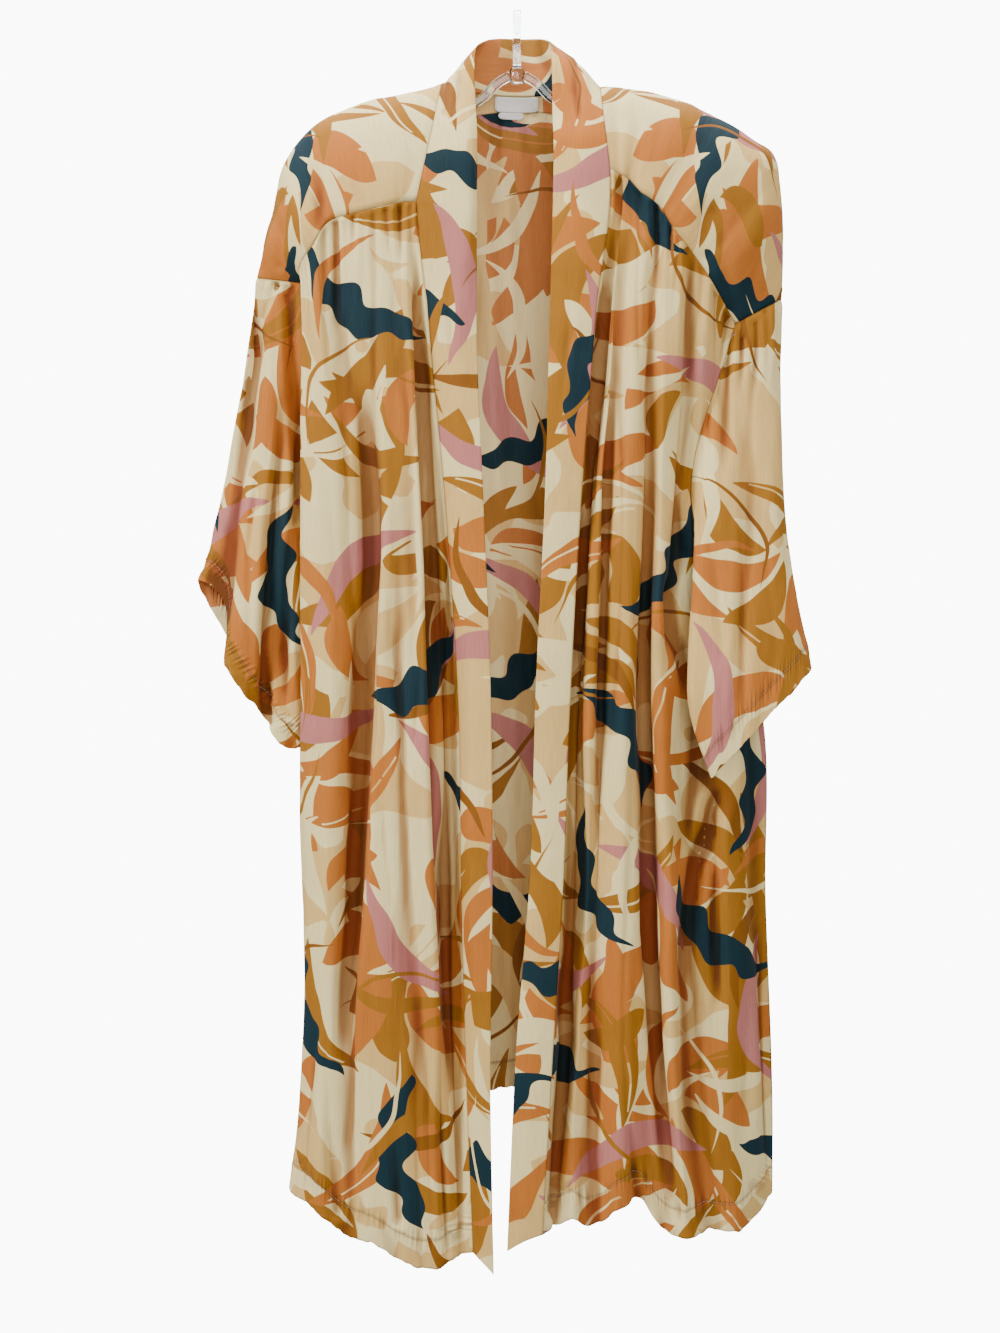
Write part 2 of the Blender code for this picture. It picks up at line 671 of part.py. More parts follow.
def build_hanger(collection):
    left_path = arm_points(LEFT_ARM, LEFT_SHOULDER, LEFT_ARM_ROWS)
    right_path = arm_points(RIGHT_ARM, RIGHT_SHOULDER, RIGHT_ARM_ROWS)
    left = as_mesh(tube_object("hanger", left_path, ARM_RADIUS, collection))
    right = as_mesh(tube_object("arm_right", right_path, ARM_RADIUS, collection))
    bpy.ops.mesh.primitive_cylinder_add(
        vertices=16, radius=HUB_RADIUS * MM, depth=(HUB_TOP - HUB_BOTTOM) * MM,
        location=(0, 0, (HUB_TOP + HUB_BOTTOM) / 2 * MM))
    hub = bpy.context.object
    for old in hub.users_collection:
        old.objects.unlink(hub)
    collection.objects.link(hub)
    join_solids(left, [right, hub])
    give_material(left, (0.85, 0.88, 0.88), 0.12, 0.9)
    hook = tube_object("hanger_hook", hook_points(), HOOK_WIRE, collection)
    give_material(hook, (0.85, 0.88, 0.88), 0.12, 0.9)


def neck_point(neckline, x):
    """Point of the back neckline at x."""
    column = 0
    while column < len(neckline) - 2 and neckline[column + 1].x < x:
        column += 1
    before, after = neckline[column], neckline[column + 1]
    return before.lerp(after, (x - before.x) / (after.x - before.x))


def build_label(name, neckline, left, right, start, drop, collection):
    """Small plate that hangs plumb in front of the inside of the back neck."""
    work = bmesh.new()
    columns = []
    for step in range(LABEL_STEPS + 1):
        top = neck_point(neckline, blend(left, right, step / LABEL_STEPS))
        back_y = top.y - LABEL_SETBACK
        corners = [(back_y - LABEL_THICK, top.z - start), (back_y, top.z - start),
                   (back_y, top.z - start - drop), (back_y - LABEL_THICK, top.z - start - drop)]
        columns.append([work.verts.new(Vector((top.x, y, z)) * MM) for y, z in corners])
    for one, two in zip(columns, columns[1:]):
        for corner in range(4):
            other = (corner + 1) % 4
            work.faces.new((one[corner], one[other], two[other], two[corner]))
    work.faces.new(columns[0][::-1])
    work.faces.new(columns[-1])
    bmesh.ops.recalc_face_normals(work, faces=work.faces)
    mesh = bpy.data.meshes.new(name)
    work.to_mesh(mesh)
    work.free()
    item = bpy.data.objects.new(name, mesh)
    collection.objects.link(item)
    give_material(item, LABEL_COLOUR, 0.6)


def build():
    clear_scene()
    collection = bpy.data.collections.new(NAME)
    bpy.context.scene.collection.children.link(collection)

    left_front = front_grid(LEFT_FOLDS, LEFT_UNDERARM)
    right_front = front_grid(RIGHT_FOLDS, RIGHT_UNDERARM)
    back = back_grid(left_front, right_front)
    left_count = len(left_front[0]) - 1
    back_left = back[0][:left_count + 1][::-1]
    back_middle = back[0][left_count:left_count + NECK_STEPS + 1]
    back_right = back[0][left_count + NECK_STEPS:]
    left_yoke = yoke_grid(left_front[0], LEFT_SHOULDER, back_left)
    right_yoke = yoke_grid(right_front[0], RIGHT_SHOULDER, back_right)
    neck = neck_grid([row[0] for row in left_yoke[YOKE_STEPS:]], [row[0] for row in right_yoke[YOKE_STEPS:]],
                     back_middle)

    left_sleeve = sleeve_grid(armhole_ring(left_yoke, left_front, back, 0), LEFT_SLEEVE)
    right_sleeve = sleeve_grid(armhole_ring(right_yoke, right_front, back, -1), RIGHT_SLEEVE)

    half = NECK_STEPS // 2
    left_seam, stations = seam_of_side(left_front, left_yoke, neck[0][1:half + 1])
    right_seam, _ = seam_of_side(right_front, right_yoke, neck[0][half:NECK_STEPS][::-1])
    left_band = band_side(LEFT_BAND, RIGHT_BAND, left_seam, stations)
    right_band = band_side(RIGHT_BAND, LEFT_BAND, right_seam, stations)
    band = left_band + right_band[-2::-1]

    pieces = {name: Sheet(name) for name in CLOTH_COLOURS}
    pieces["front_left"].add(left_front, False, ("top", "first", "last"))
    pieces["front_right"].add(right_front, True, ("top", "first", "last"))
    pieces["back_panel"].add(back, False, ("top", "first", "last"))
    pieces["yoke"].add(left_yoke, True, ("top", "bottom", "first", "last"))
    pieces["yoke"].add(right_yoke, False, ("top", "bottom", "first", "last"))
    strip = pieces["yoke"].add(neck, False, ("top", "bottom"))
    pieces["sleeve_left"].add(left_sleeve, True, ("top",), True)
    pieces["sleeve_right"].add(right_sleeve, False, ("top",), True)
    pieces["front_band"].add(band, False, ("first",))
    seams = {name: moves_of(sheet) for name, sheet in pieces.items()}
    for name, sheet in pieces.items():
        give_material(cloth_object(sheet, seams, collection), CLOTH_COLOURS[name], 0.85)

    build_label("neck_label", strip[0], LABEL_LEFT, LABEL_RIGHT, LABEL_START, LABEL_DROP, collection)
    build_label("size_tab", strip[0], TAB_LEFT, TAB_RIGHT, LABEL_START + LABEL_DROP + SEAM_GAP, TAB_DROP, collection)
    build_hanger(collection)


build()
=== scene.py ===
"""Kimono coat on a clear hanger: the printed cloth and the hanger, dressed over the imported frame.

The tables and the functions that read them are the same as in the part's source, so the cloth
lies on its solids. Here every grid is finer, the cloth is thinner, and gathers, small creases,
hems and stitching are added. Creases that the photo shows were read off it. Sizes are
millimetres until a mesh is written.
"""

import math

import bmesh
import bpy
import numpy as np
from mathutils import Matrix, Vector, noise


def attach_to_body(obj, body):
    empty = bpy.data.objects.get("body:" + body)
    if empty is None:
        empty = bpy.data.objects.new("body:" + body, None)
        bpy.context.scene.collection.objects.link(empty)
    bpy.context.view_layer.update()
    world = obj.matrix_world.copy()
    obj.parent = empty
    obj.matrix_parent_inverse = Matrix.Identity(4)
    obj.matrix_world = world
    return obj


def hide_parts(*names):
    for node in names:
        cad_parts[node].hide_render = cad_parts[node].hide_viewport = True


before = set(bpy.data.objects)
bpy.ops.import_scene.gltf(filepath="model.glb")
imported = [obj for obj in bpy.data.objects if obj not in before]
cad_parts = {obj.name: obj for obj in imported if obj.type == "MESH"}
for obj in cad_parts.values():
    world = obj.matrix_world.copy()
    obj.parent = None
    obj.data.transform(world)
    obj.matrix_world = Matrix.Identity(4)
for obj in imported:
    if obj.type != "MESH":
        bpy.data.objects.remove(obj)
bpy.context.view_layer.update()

MM = 0.001
VIEW_DISTANCE = 2000.0
EYE_LEVEL = -584.5
EYE_SIDE = -15.3
FRAME_WIDTH = 900.0
SENSOR = 36.0

CLOTH = 0.7
HEM_EXTRA = 0.5
HEM_STEP = 1.5
HEM_DEPTH = 25.0
CUFF_DEPTH = 20.0

# Steps of the part's own grids, and how much finer they are here
PART_FOLD_STEPS = 2
PART_ROWS_TO_UNDERARM = 5
PART_ROWS_TO_HEM = 11
PART_YOKE_STEPS = 5
PART_NECK_STEPS = 6
FINE = 6
FOLD_STEPS = PART_FOLD_STEPS * FINE
YOKE_STEPS = 26
NECK_STEPS = PART_NECK_STEPS * FINE
BAND_STEPS = 16
EASING_STEPS = 400
EASING = 0.09

# Painted shade in the hollows of the folds: columns to each side that are compared, and the depth that counts
# as full shade
FOLD_SHADE_SPANS = ((3, 3.4), (8, 12.0))

# Small folds, in millimetres. Folds fade out beside a seam over SEAM_REST. Ripples: height, distance of
# their middle from the seam or line, width of their strip, and length of a wave
SEAM_REST = 9.0
SMALL_FOLD = (9.0, 60.0, 34.0)
CREASE_REACH, CREASE_ROUND = 0.34, 0.07
FRONT_FACING, DRAWN_REST, DRAWN_DEPTH = 0.25, 3.5, 1.2
DRAWN_REACH, DRAWN_RIDGE = 3.2, (0.3, 1.9, 0.8)
GATHER_START, GATHER_WAVE = 5.0, 9.0
SEAM_RIPPLE = (0.25, 4.0, 2.5, 11.0)
SEAM_GROOVE = (0.3, 1.6)
HEM_REACH = 2.5
HEM_RIPPLE = (1.1, 0.0, 8.0, 11.0)
EDGE_RIPPLE = (0.8, 0.0, 9.0, 24.0)
HEM_GROOVE = (0.4, 1.3)
RIPPLE_SHIFT = (34.0, 1.6)
RIPPLE_STRENGTH = (21.0, 0.65, 0.7)
# Waves of the free edge: length, place in the noise and share; how far they reach, and where they rest
HEM_WAVES = ((15.0, 9.0, 1.0), (6.5, 4.0, 0.5))
HEM_WAVE, HEM_WAVE_REACH, HEM_WAVE_FADE, HEM_WAVE_REST = 3.8, 70.0, 26.0, 20.0

# Heights at which the folds of the fronts are measured
LEVELS = (-165, -255, -435, -615, -795, -975, -1140)

# Fold, top z, hem z, then x and y at each level, from the band to the side
LEFT_FOLDS = (
    ("band seam", -166, -1112,
     (-91, -34), (-81, -34), (-65, -34), (-53, -36), (-50, -38), (-45, -38), (-39, -36)),
    ("recess", -166, -1114,
     (-99, -35), (-88, -34), (-76, -25), (-68, -20), (-64, -20), (-57, -25), (-51, -33)),
    ("roll", -167, -1122,
     (-107, -37), (-96, -42), (-86, -49), (-79, -50), (-73, -50), (-66, -45), (-62, -41)),
    ("chest", -170, -1126,
     (-120, -39), (-106, -44), (-99, -47), (-98, -48), (-96, -49), (-92, -46), (-90, -43)),
    ("crest", -177, -1104,
     (-150, -38), (-137, -42), (-121, -46), (-127, -46), (-134, -46), (-138, -43), (-130, -40)),
    ("long valley", -185, -1096,
     (-172, -36), (-160, -34), (-134, -28), (-138, -27), (-147, -28), (-151, -33), (-155, -36)),
    ("flank", -205, -1075,
     (-185, -38), (-180, -41), (-166, -43), (-168, -43), (-173, -43), (-174, -40), (-186, -39)),
    ("side fold", -225, -1056,
     (-195, -27), (-196, -27), (-196, -26), (-196, -24), (-194, -20), (-193, -16), (-214, -14)),
    ("side seam", -240, -1050,
     (-188, -8), (-187, -8), (-166, 2), (-158, 3), (-182, 6), (-187, 8), (-204, 10)),
)
RIGHT_FOLDS = (
    ("band seam", -136, -1096,
     (84, -42), (72, -47), (58, -50), (48, -52), (41, -54), (30, -54), (22, -52)),
    ("recess", -140, -1087,
     (90, -40), (79, -37), (66, -31), (56, -27), (50, -25), (39, -30), (33, -41)),
    ("pleat", -143, -1083,
     (96, -41), (86, -42), (75, -45), (67, -46), (62, -44), (52, -43), (48, -44)),
    ("slit", -147, -1090,
     (102, -39), (93, -39), (83, -38), (78, -36), (72, -36), (68, -38), (66, -40)),
    ("chest", -157, -1074,
     (111, -42), (103, -45), (97, -48), (94, -49), (92, -50), (91, -50), (92, -48)),
    ("flute", -163, -1066,
     (120, -42), (112, -44), (106, -44), (106, -43), (108, -43), (110, -44), (111, -37)),
    ("valley", -172, -1094,
     (130, -40), (121, -37), (114, -32), (116, -28), (121, -27), (127, -32), (135, -42)),
    ("crest", -191, -1101,
     (143, -41), (136, -44), (129, -45), (131, -43), (136, -42), (143, -44), (156, -47)),
    ("slant valley", -212, -1092,
     (158, -38), (156, -34), (141, -27), (160, -20), (154, -25), (158, -31), (176, -36)),
    ("flank", -238, -1092,
     (175, -34), (174, -31), (149, -23), (192, -13), (196, -18), (198, -23), (203, -27)),
    ("side seam", -276, -1058,
     (200, -14), (200, -14), (157, -19), (219, 9), (224, 5), (230, 2), (229, 0)),
)
LEFT_UNDERARM = -417
RIGHT_UNDERARM = -435

# Shoulder line from the neck over the end of the hanger to the top of the armhole: x, z
LEFT_SHOULDER = (
    (-68, -60), (-83, -65), (-110, -71), (-131, -75), (-155, -83), (-177, -95),
    (-195, -112), (-209, -133), (-217, -160), (-224, -194), (-234, -235),
)
RIGHT_SHOULDER = (
    (75, -63), (94, -64), (122, -68), (152, -77), (168, -85), (196, -99),
    (214, -112), (229, -123), (236, -142), (239, -190), (238, -254),
)
# Neckline round the back: x, y, z
BACK_NECK = (
    (-68, 0, -60), (-53, 22, -66), (-27, 35, -70), (4, 39, -72), (33, 35, -70), (59, 22, -67), (75, 0, -63),
)
# Seam between the yoke and the back, from the neck to the armhole: x, y, z
LEFT_BACK_SEAM = ((-76, 36, -96), (-115, 35, -112), (-155, 33, -146), (-180, 29, -190), (-190, 20, -242))
RIGHT_BACK_SEAM = ((83, 36, -97), (125, 35, -115), (165, 33, -150), (190, 29, -205), (203, 20, -278))
BACK_SEAM_CENTRE = (4, 40, -85)

# The back below the underarm: height, left x, right x, y of the cloth, depth of its folds
BACK_LEVELS = (
    (-400, -172, 164, 34, 1.5),
    (-615, -172, 206, 38, 4.0),
    (-795, -188, 220, 44, 6.0),
    (-975, -190, 224, 48, 8.0),
    (-1060, -196, 224, 50, 9.0),
)
BACK_TURN = 0.55
ARMHOLE_ROUND = 2.5
FLUTE_CHANGE = 0.83
FLUTE_VARY = 0.3
BACK_HEM_CENTRE = -962
BACK_HEM_LEFT = -1050
BACK_HEM_RIGHT = -1058

# Band, from each hem up to the neck: row of the seam it belongs to, crease x, y, z, free edge x, y, z
LEFT_BAND = (
    ("hem", (-30, -47, -1122), (-21, -50, -1132)),
    ("knee", (-35, -49, -948), (-24, -52, -950)),
    ("thigh", (-41, -50, -768), (-22, -52, -770)),
    ("hip", (-41, -48, -592), (-24, -50, -593)),
    ("underarm", (-49, -45, -418), (-31, -47, -418)),
    ("chest", (-55, -44, -291), (-36, -42, -291)),
    ("yoke seam", (-46, -43, -165), (-36, -36, -165)),
    ("collar bone", (-47, -36, -108), (-36, -29, -106)),
    ("neck point", (-52, -6, -50), (-38, -9, -37)),
    ("neck side", (-41, 23, -44), (-28, 24, -21)),
    ("neck back", (4, 38, -46), (4, 34, -20)),
)
RIGHT_BAND = (
    ("hem", (7, -54, -1102), (-9, -52, -1111)),
    ("knee", (15, -56, -930), (-1, -54, -934)),
    ("thigh", (27, -56, -764), (12, -54, -766)),
    ("hip", (33, -54, -600), (17, -53, -601)),
    ("underarm", (41, -52, -435), (25, -50, -435)),
    ("chest", (50, -50, -286), (29, -46, -286)),
    ("yoke seam", (59, -44, -136), (33, -38, -136)),
    ("collar bone", (60, -33, -90), (32, -27, -88)),
    ("neck point", (56, -6, -44), (31, -9, -33)),
    ("neck side", (44, 23, -42), (28, 24, -21)),
    ("neck back", (4, 38, -46), (4, 34, -20)),
)

# Sleeves: a row for each fold, with its step round the ring, then x, y, z at three rings and at the cuff
LEFT_SLEEVE = (
    ("outer fold", 0, (-245, 4, -318), (-262, 6, -417), (-274, 8, -471), (-287, 8, -509)),
    ("notch", 1, (-236, 5, -318), (-250, 1, -427), (-257, 1, -482), (-261, 3, -529)),
    ("turned crest", 2, (-226, -10, -330), (-242, -15, -440), (-252, -20, -515), (-266, -22, -577)),
    ("face", 4, (-216, -11, -340), (-224, -15, -460), (-234, -20, -540), (-246, -21, -608)),
    ("valley", 6, (-207, -7, -355), (-208, -10, -480), (-217, -8, -570), (-228, -6, -628)),
    ("inner crest", 8, (-198, 0, -392), (-194, -6, -500), (-200, -11, -590), (-209, -14, -656)),
    ("inner fold", 10, (-179, 10, -440), (-174, 10, -525), (-173, 10, -590), (-178, 8, -648)),
    ("back face", 13, (-202, 16, -372), (-200, 20, -495), (-206, 21, -572), (-212, 21, -622)),
    ("back outer", 17, (-230, 14, -330), (-243, 19, -440), (-253, 22, -505), (-262, 22, -556)),
)
RIGHT_SLEEVE = (
    ("outer fold", 0, (237, -4, -345), (244, -14, -462), (254, -22, -525), (266, -27, -586)),
    ("front outer", 2, (228, -20, -360), (236, -31, -480), (246, -38, -545), (257, -42, -597)),
    ("front face", 5, (197, -32, -405), (201, -47, -520), (207, -54, -580), (220, -56, -636)),
    ("front inner", 8, (170, -42, -446), (164, -55, -564), (165, -60, -616), (183, -62, -676)),
    ("inner fold", 10, (160, -36, -470), (154, -49, -579), (156, -52, -628), (175, -54, -685)),
    ("back inner", 12, (171, -28, -446), (165, -41, -564), (166, -42, -616), (183, -44, -676)),
    ("back face", 15, (205, -6, -400), (201, -20, -520), (207, -29, -580), (220, -32, -636)),
    ("back outer", 18, (230, 6, -360), (236, -7, -480), (246, -15, -545), (257, -20, -597)),
)

# Clear hanger: middle line of each arm from the hub outwards, x and z. Under the yoke it keeps
# ARM_DROP below the shoulder line, from one row of the shoulder table to another.
ARM_DROP = 7.0
ARM_STEPS = 90
# Sections: across, depth and groove; the arm's end is thinner over its last steps
ARM_SECTION = (7.2, 8.6, 0.5)
ARM_END = 0.45
ARM_TAPER = (-0.5, 4.0)
LEFT_ARM = ((-6, -53), (-18, -60), (-31, -73), (-48, -81), (-70, -81))
LEFT_ARM_ROWS = (2, 7)
RIGHT_ARM = ((6, -53), (18, -60), (31, -73), (48, -81), (76, -80))
RIGHT_ARM_ROWS = (2, 7)
HUB_TOP = -46.0
# Radius and z, from the top down
HUB_PROFILE = ((0.05, -45.99), (3.4, -46.0), (4.6, -46.4), (5.5, -47.4), (5.9, -49.0), (6.0, -53.0),
               (5.9, -57.0), (5.2, -59.2), (3.6, -60.0), (0.05, -60.01))
HUB_ACROSS, HUB_DEPTH, HUB_TURNS = 1.12, 0.9, 40
HOOK_WIRE = 3.2
HOOK_INSIDE = 14.0
HOOK_TIP_ANGLE = -20.0
HOOK_STEM_ANGLE = 215.0
HOOK_START = 0.3
HOOK_FOOT = 4.0
HOOK_STEPS = 14
HOOK_SECTION = (7.2, 5.0, 0.45)
HOOK_TIP, HOOK_ROUND_STEPS = 0.2, 3.0

# Blank label sewn in at the back of the neck
LABEL_LEFT = -20.0
LABEL_RIGHT = 20.0
LABEL_START = 1.0
LABEL_DROP = 14.0
LABEL_SETBACK = 1.05
LABEL_HALF = 0.35
LABEL_WAVE = 0.16
LABEL_CELLS = (36, 14)
CORNER = 3.6
TAB_LEFT = -17.0
TAB_RIGHT = 7.0
TAB_START = 15.3
TAB_DROP = 6.0
TABLE_RING_STEPS = 20

# Size of a pixel of the photo, and the pixels at which x and z are 0
PIXEL = 0.9
AXIS_PIXEL = 517
TOP_PIXEL = 17
FAR = 1e6

# Creases seen in the photo: half width in millimetres, then the line as side and height in pixels
# of the photo, with its depth there in millimetres
CREASES = {
    "front_right": (
        (6.0, ((603, 300, 1), (594, 400, 4), (586, 470, 5), (581, 560, 5), (575, 650, 5), (569, 750, 5),
               (564, 850, 5), (560, 950, 4), (566, 1040, 3), (558, 1120, 4), (550, 1212, 4))),
        (4.5, ((609, 290, 0.5), (608, 400, 3), (606, 500, 3.5), (604, 560, 3.5), (602, 640, 3.5),
               (599, 710, 3.5), (595, 800, 3), (592, 870, 0))),
        (5.5, ((652, 330, 0), (651, 400, 3), (650, 470, 4.5), (648, 520, 5), (645, 600, 5),
               (642, 700, 4.5), (646, 800, 4.5), (648, 930, 4.5), (653, 980, 5), (656, 1040, 5),
               (661, 1090, 4.5), (666, 1140, 4), (671, 1180, 3), (676, 1215, 1))),
        (5.5, ((691, 235, 1), (690, 330, 3.5), (690, 400, 4.5), (685, 450, 6), (681, 500, 6.5),
               (676, 560, 6), (671, 610, 5), (667, 650, 3), (664, 700, 0))),
        (3.6, ((622, 178, 2.5), (621, 215, 3), (620, 255, 0))),
        (3.6, ((640, 192, 2), (641, 225, 1.5), (641, 250, 0))),
        (3.6, ((656, 202, 2.5), (658, 240, 2.5), (658, 300, 0))),
        (3.6, ((671, 214, 2), (669, 245, 2), (668, 275, 0))),
        (3.6, ((703, 262, 2.5), (701, 300, 2), (699, 340, 0))),
        (3.6, ((716, 290, 2.5), (715, 330, 2), (713, 370, 0))),
        (3.6, ((728, 312, 2.5), (726, 350, 2), (722, 390, 0))),
        (7.0, ((668, 575, 0), (672, 600, 7), (676, 630, 9), (681, 655, 6), (685, 680, 2))),
        (7.0, ((722, 790, 1), (716, 805, 6), (707, 835, 6.5), (697, 870, 6), (690, 905, 5), (684, 950, 3),
               (680, 1000, 0))),
        (4.5, ((717, 820, 2), (716, 860, 3.5), (715, 900, 4), (716, 940, 4), (718, 975, 3),
               (719, 1010, 0))),
        (5.0, ((596, 1010, 0), (596, 1060, 3), (594, 1110, 2.5), (592, 1160, 0))),
        (5.0, ((757, 930, 1), (764, 1000, 3), (768, 1080, 3), (766, 1150, 1))),
    ),
    "front_left": (
        (4.5, ((412, 235, 1.5), (416, 290, 3), (420, 350, 4), (425, 430, 4.5), (428, 500, 4.5),
               (431, 580, 4.5), (433, 650, 4.5), (435, 730, 4.5), (437, 800, 4.5), (440, 880, 4.5),
               (443, 960, 4.5), (446, 1060, 4), (443, 1140, 4), (446, 1200, 3.5), (449, 1250, 2))),
        (7.0, ((372, 300, 0), (370, 360, 3), (369, 430, 5), (371, 500, 6), (372, 560, 6.5), (367, 650, 6),
               (364, 720, 5.5), (360, 780, 5), (356, 850, 5), (353, 920, 5), (348, 980, 5), (344, 1030, 3),
               (340, 1075, 0))),
        (3.6, ((333, 214, 3), (336, 250, 3), (337, 290, 2), (335, 340, 0))),
        (3.2, ((352, 207, 2), (353, 235, 1.5), (353, 260, 0))),
        (3.2, ((384, 205, 2), (386, 235, 1.5), (387, 262, 0))),
        (3.2, ((400, 205, 2), (402, 240, 2), (404, 280, 0))),
        (5.0, ((352, 560, 0), (356, 640, 2.5), (352, 720, 2.5), (345, 800, 1))),
        (5.0, ((394, 520, 0), (398, 620, 2), (400, 740, 2.5), (404, 850, 2), (406, 940, 0))),
        (5.0, ((330, 940, 0), (326, 1040, 2), (330, 1140, 2.5), (336, 1210, 2))),
        (5.0, ((384, 1060, 0), (392, 1140, 2), (398, 1220, 3))),
    ),
    "sleeve_left": (
        (5.5, ((291, 290, 3), (293, 350, 5), (297, 410, 5), (298, 470, 4), (296, 520, 3))),
        (5.5, ((283, 390, 0), (282, 440, 4), (276, 500, 6), (271, 560, 6), (268, 620, 6), (266, 680, 6),
               (268, 720, 4))),
        (5.0, ((285, 610, 0), (282, 650, 5), (283, 690, 5), (287, 715, 2))),
        (3.4, ((262, 330, 0), (257, 360, 2), (250, 400, 2), (247, 440, 0))),
        (3.4, ((276, 284, 3), (268, 300, 2), (262, 322, 0))),
        (3.4, ((278, 285, 3), (284, 297, 2), (290, 306, 0))),
        (3.4, ((275, 283, 3), (264, 278, 1.5), (257, 274, 0))),
        (3.6, ((258, 440, 0), (254, 490, 2), (250, 540, 2), (252, 600, 0))),
    ),
    "sleeve_right": (
        (5.0, ((727, 340, 2), (725, 390, 3), (724, 440, 3), (722, 480, 1), (720, 520, 0))),
        (3.4, ((742, 335, 2.5), (740, 370, 2), (736, 410, 0))),
        (3.4, ((756, 322, 2.5), (757, 355, 2), (754, 400, 0))),
        (3.4, ((766, 312, 2), (768, 345, 1.5), (768, 390, 0))),
        (6.0, ((752, 430, 0), (750, 520, 1.5), (744, 620, 2), (738, 700, 1.5), (732, 745, 0))),
    ),
    "yoke": (
        (8.0, ((711, 195, 0), (708, 210, 2.2), (703, 228, 1.5), (700, 245, 0))),
        (5.0, ((712, 200, 0), (722, 240, 1.5), (726, 275, 1.6), (732, 310, 1))),
        (5.0, ((318, 172, 0), (320, 200, 1.5), (318, 225, 1.5), (312, 250, 0))),
        (4.0, ((288, 190, 0), (281, 230, 1.5), (279, 265, 1.5))),
    ),
    "front_band": (
        (4.0, ((576, 66, 1.5), (576, 90, 2.5), (578, 110, 1.5), (581, 125, 0))),
        (3.0, ((446, 84, 1.5), (444, 104, 1.5), (441, 122, 0))),
        (3.0, ((457, 80, 1.5), (454, 106, 1.5), (451, 126, 0))),
        (4.0, ((447, 240, 0), (449, 330, 1.2), (452, 420, 0))),
        (4.0, ((572, 260, 0), (566, 340, 1.2), (560, 430, 0))),
    ),
}


def spread(count, extras):
    """Even shares from 0 to 1 with some more between them."""
    return sorted({step / count for step in range(count + 1)} | set(extras))


UPPER_SHARES = spread(34, (0.006, 0.013, 0.021))
LOWER_SHARES = spread(90, (0.9585, 0.9610, 0.9625, 0.9640, 0.9665, 0.994, 0.997))
SLEEVE_SHARES = spread(64, (0.004, 0.009, 0.95, 0.955, 0.96, 0.992, 0.996))
UNDERARM_ROW = len(UPPER_SHARES) - 1


def blend(a, b, share):
    return a + (b - a) * share


def smooth(value, low, high):
    share = min(max((value - low) / (high - low), 0.0), 1.0)
    return share * share * (3 - 2 * share)


def catmull(p0, p1, p2, p3, t):
    """Smooth curve through p1 and p2; works on numbers and vectors."""
    linear = (p2 - p0) * t
    square = (p0 * 2 - p1 * 5 + p2 * 4 - p3) * (t * t)
    cube = (p1 * 3 - p0 - p2 * 3 + p3) * (t * t * t)
    return p1 + (linear + square + cube) * 0.5


def along(points, place):
    """Point at a place from 0 to len(points) - 1 on the smooth curve through them."""
    last = len(points) - 1
    index = min(int(place), last - 1)
    before = points[max(index - 1, 0)]
    after = points[min(index + 2, last)]
    return catmull(before, points[index], points[index + 1], after, place - index)


def by_length(points, shares, fineness=12):
    """Points on the smooth curve at shares of its length."""
    count = (len(points) - 1) * fineness
    fine = [along(points, step / fineness) for step in range(count + 1)]
    lengths = [0.0]
    for step in range(count):
        lengths.append(lengths[-1] + (fine[step + 1] - fine[step]).length)
    found = []
    step = 0
    for share in shares:
        target = share * lengths[-1]
        while step < count - 1 and lengths[step + 1] < target:
            step += 1
        span = lengths[step + 1] - lengths[step]
        found.append(fine[step].lerp(fine[step + 1], (target - lengths[step]) / span))
    return found


def at_level(levels, values, z):
    """Value of a table at height z, smooth between its levels."""
    last = len(levels) - 1
    if z >= levels[0]:
        return values[0]
    if z <= levels[last]:
        return values[last]
    index = 0
    while levels[index + 1] > z:
        index += 1
    share = (levels[index] - z) / (levels[index] - levels[index + 1])
    before = values[max(index - 1, 0)]
    after = values[min(index + 2, last)]
    return catmull(before, values[index], values[index + 1], after, share)


def row_places():
    """Rows of a body panel: which stretch each is in and its share of that stretch."""
    return [(0, share) for share in UPPER_SHARES[:-1]] + [(1, share) for share in LOWER_SHARES]


def row_height(stretch, share, top, underarm, hem):
    if stretch == 0:
        return blend(top, underarm, share)
    return blend(underarm, hem, share)


def front_grid(folds, underarm):
    """Gathered front: FOLD_STEPS columns from each fold to the next."""
    rows = []
    for stretch, share in row_places():
        ring = []
        for name, top, hem, *places in folds:
            z = row_height(stretch, share, top, underarm, hem)
            spots = [Vector((x, y)) for x, y in places]
            spot = at_level(LEVELS, spots, z)
            ring.append(Vector((spot.x, spot.y, z)))
        columns = (len(ring) - 1) * FOLD_STEPS
        rows.append([along(ring, column / FOLD_STEPS) for column in range(columns + 1)])
    return rows


def chord_shares(points):
    """Share of the whole length that each point of a row has reached."""
    lengths = [0.0]
    for before, after in zip(points, points[1:]):
        lengths.append(lengths[-1] + (after - before).length)
    return [length / lengths[-1] for length in lengths]


def back_top(left_count, right_count):
    """Top row of the back, from the left armhole past the neck to the right armhole."""
    left = [Vector(p) for p in LEFT_BACK_SEAM]
    right = [Vector(p) for p in RIGHT_BACK_SEAM]
    left_row = by_length(left, [step / left_count for step in range(left_count + 1)])
    right_row = by_length(right, [step / right_count for step in range(right_count + 1)])
    middle = by_length([left[0], Vector(BACK_SEAM_CENTRE), right[0]],
                       [step / PART_NECK_STEPS for step in range(1, PART_NECK_STEPS)])
    return left_row[::-1] + middle + right_row


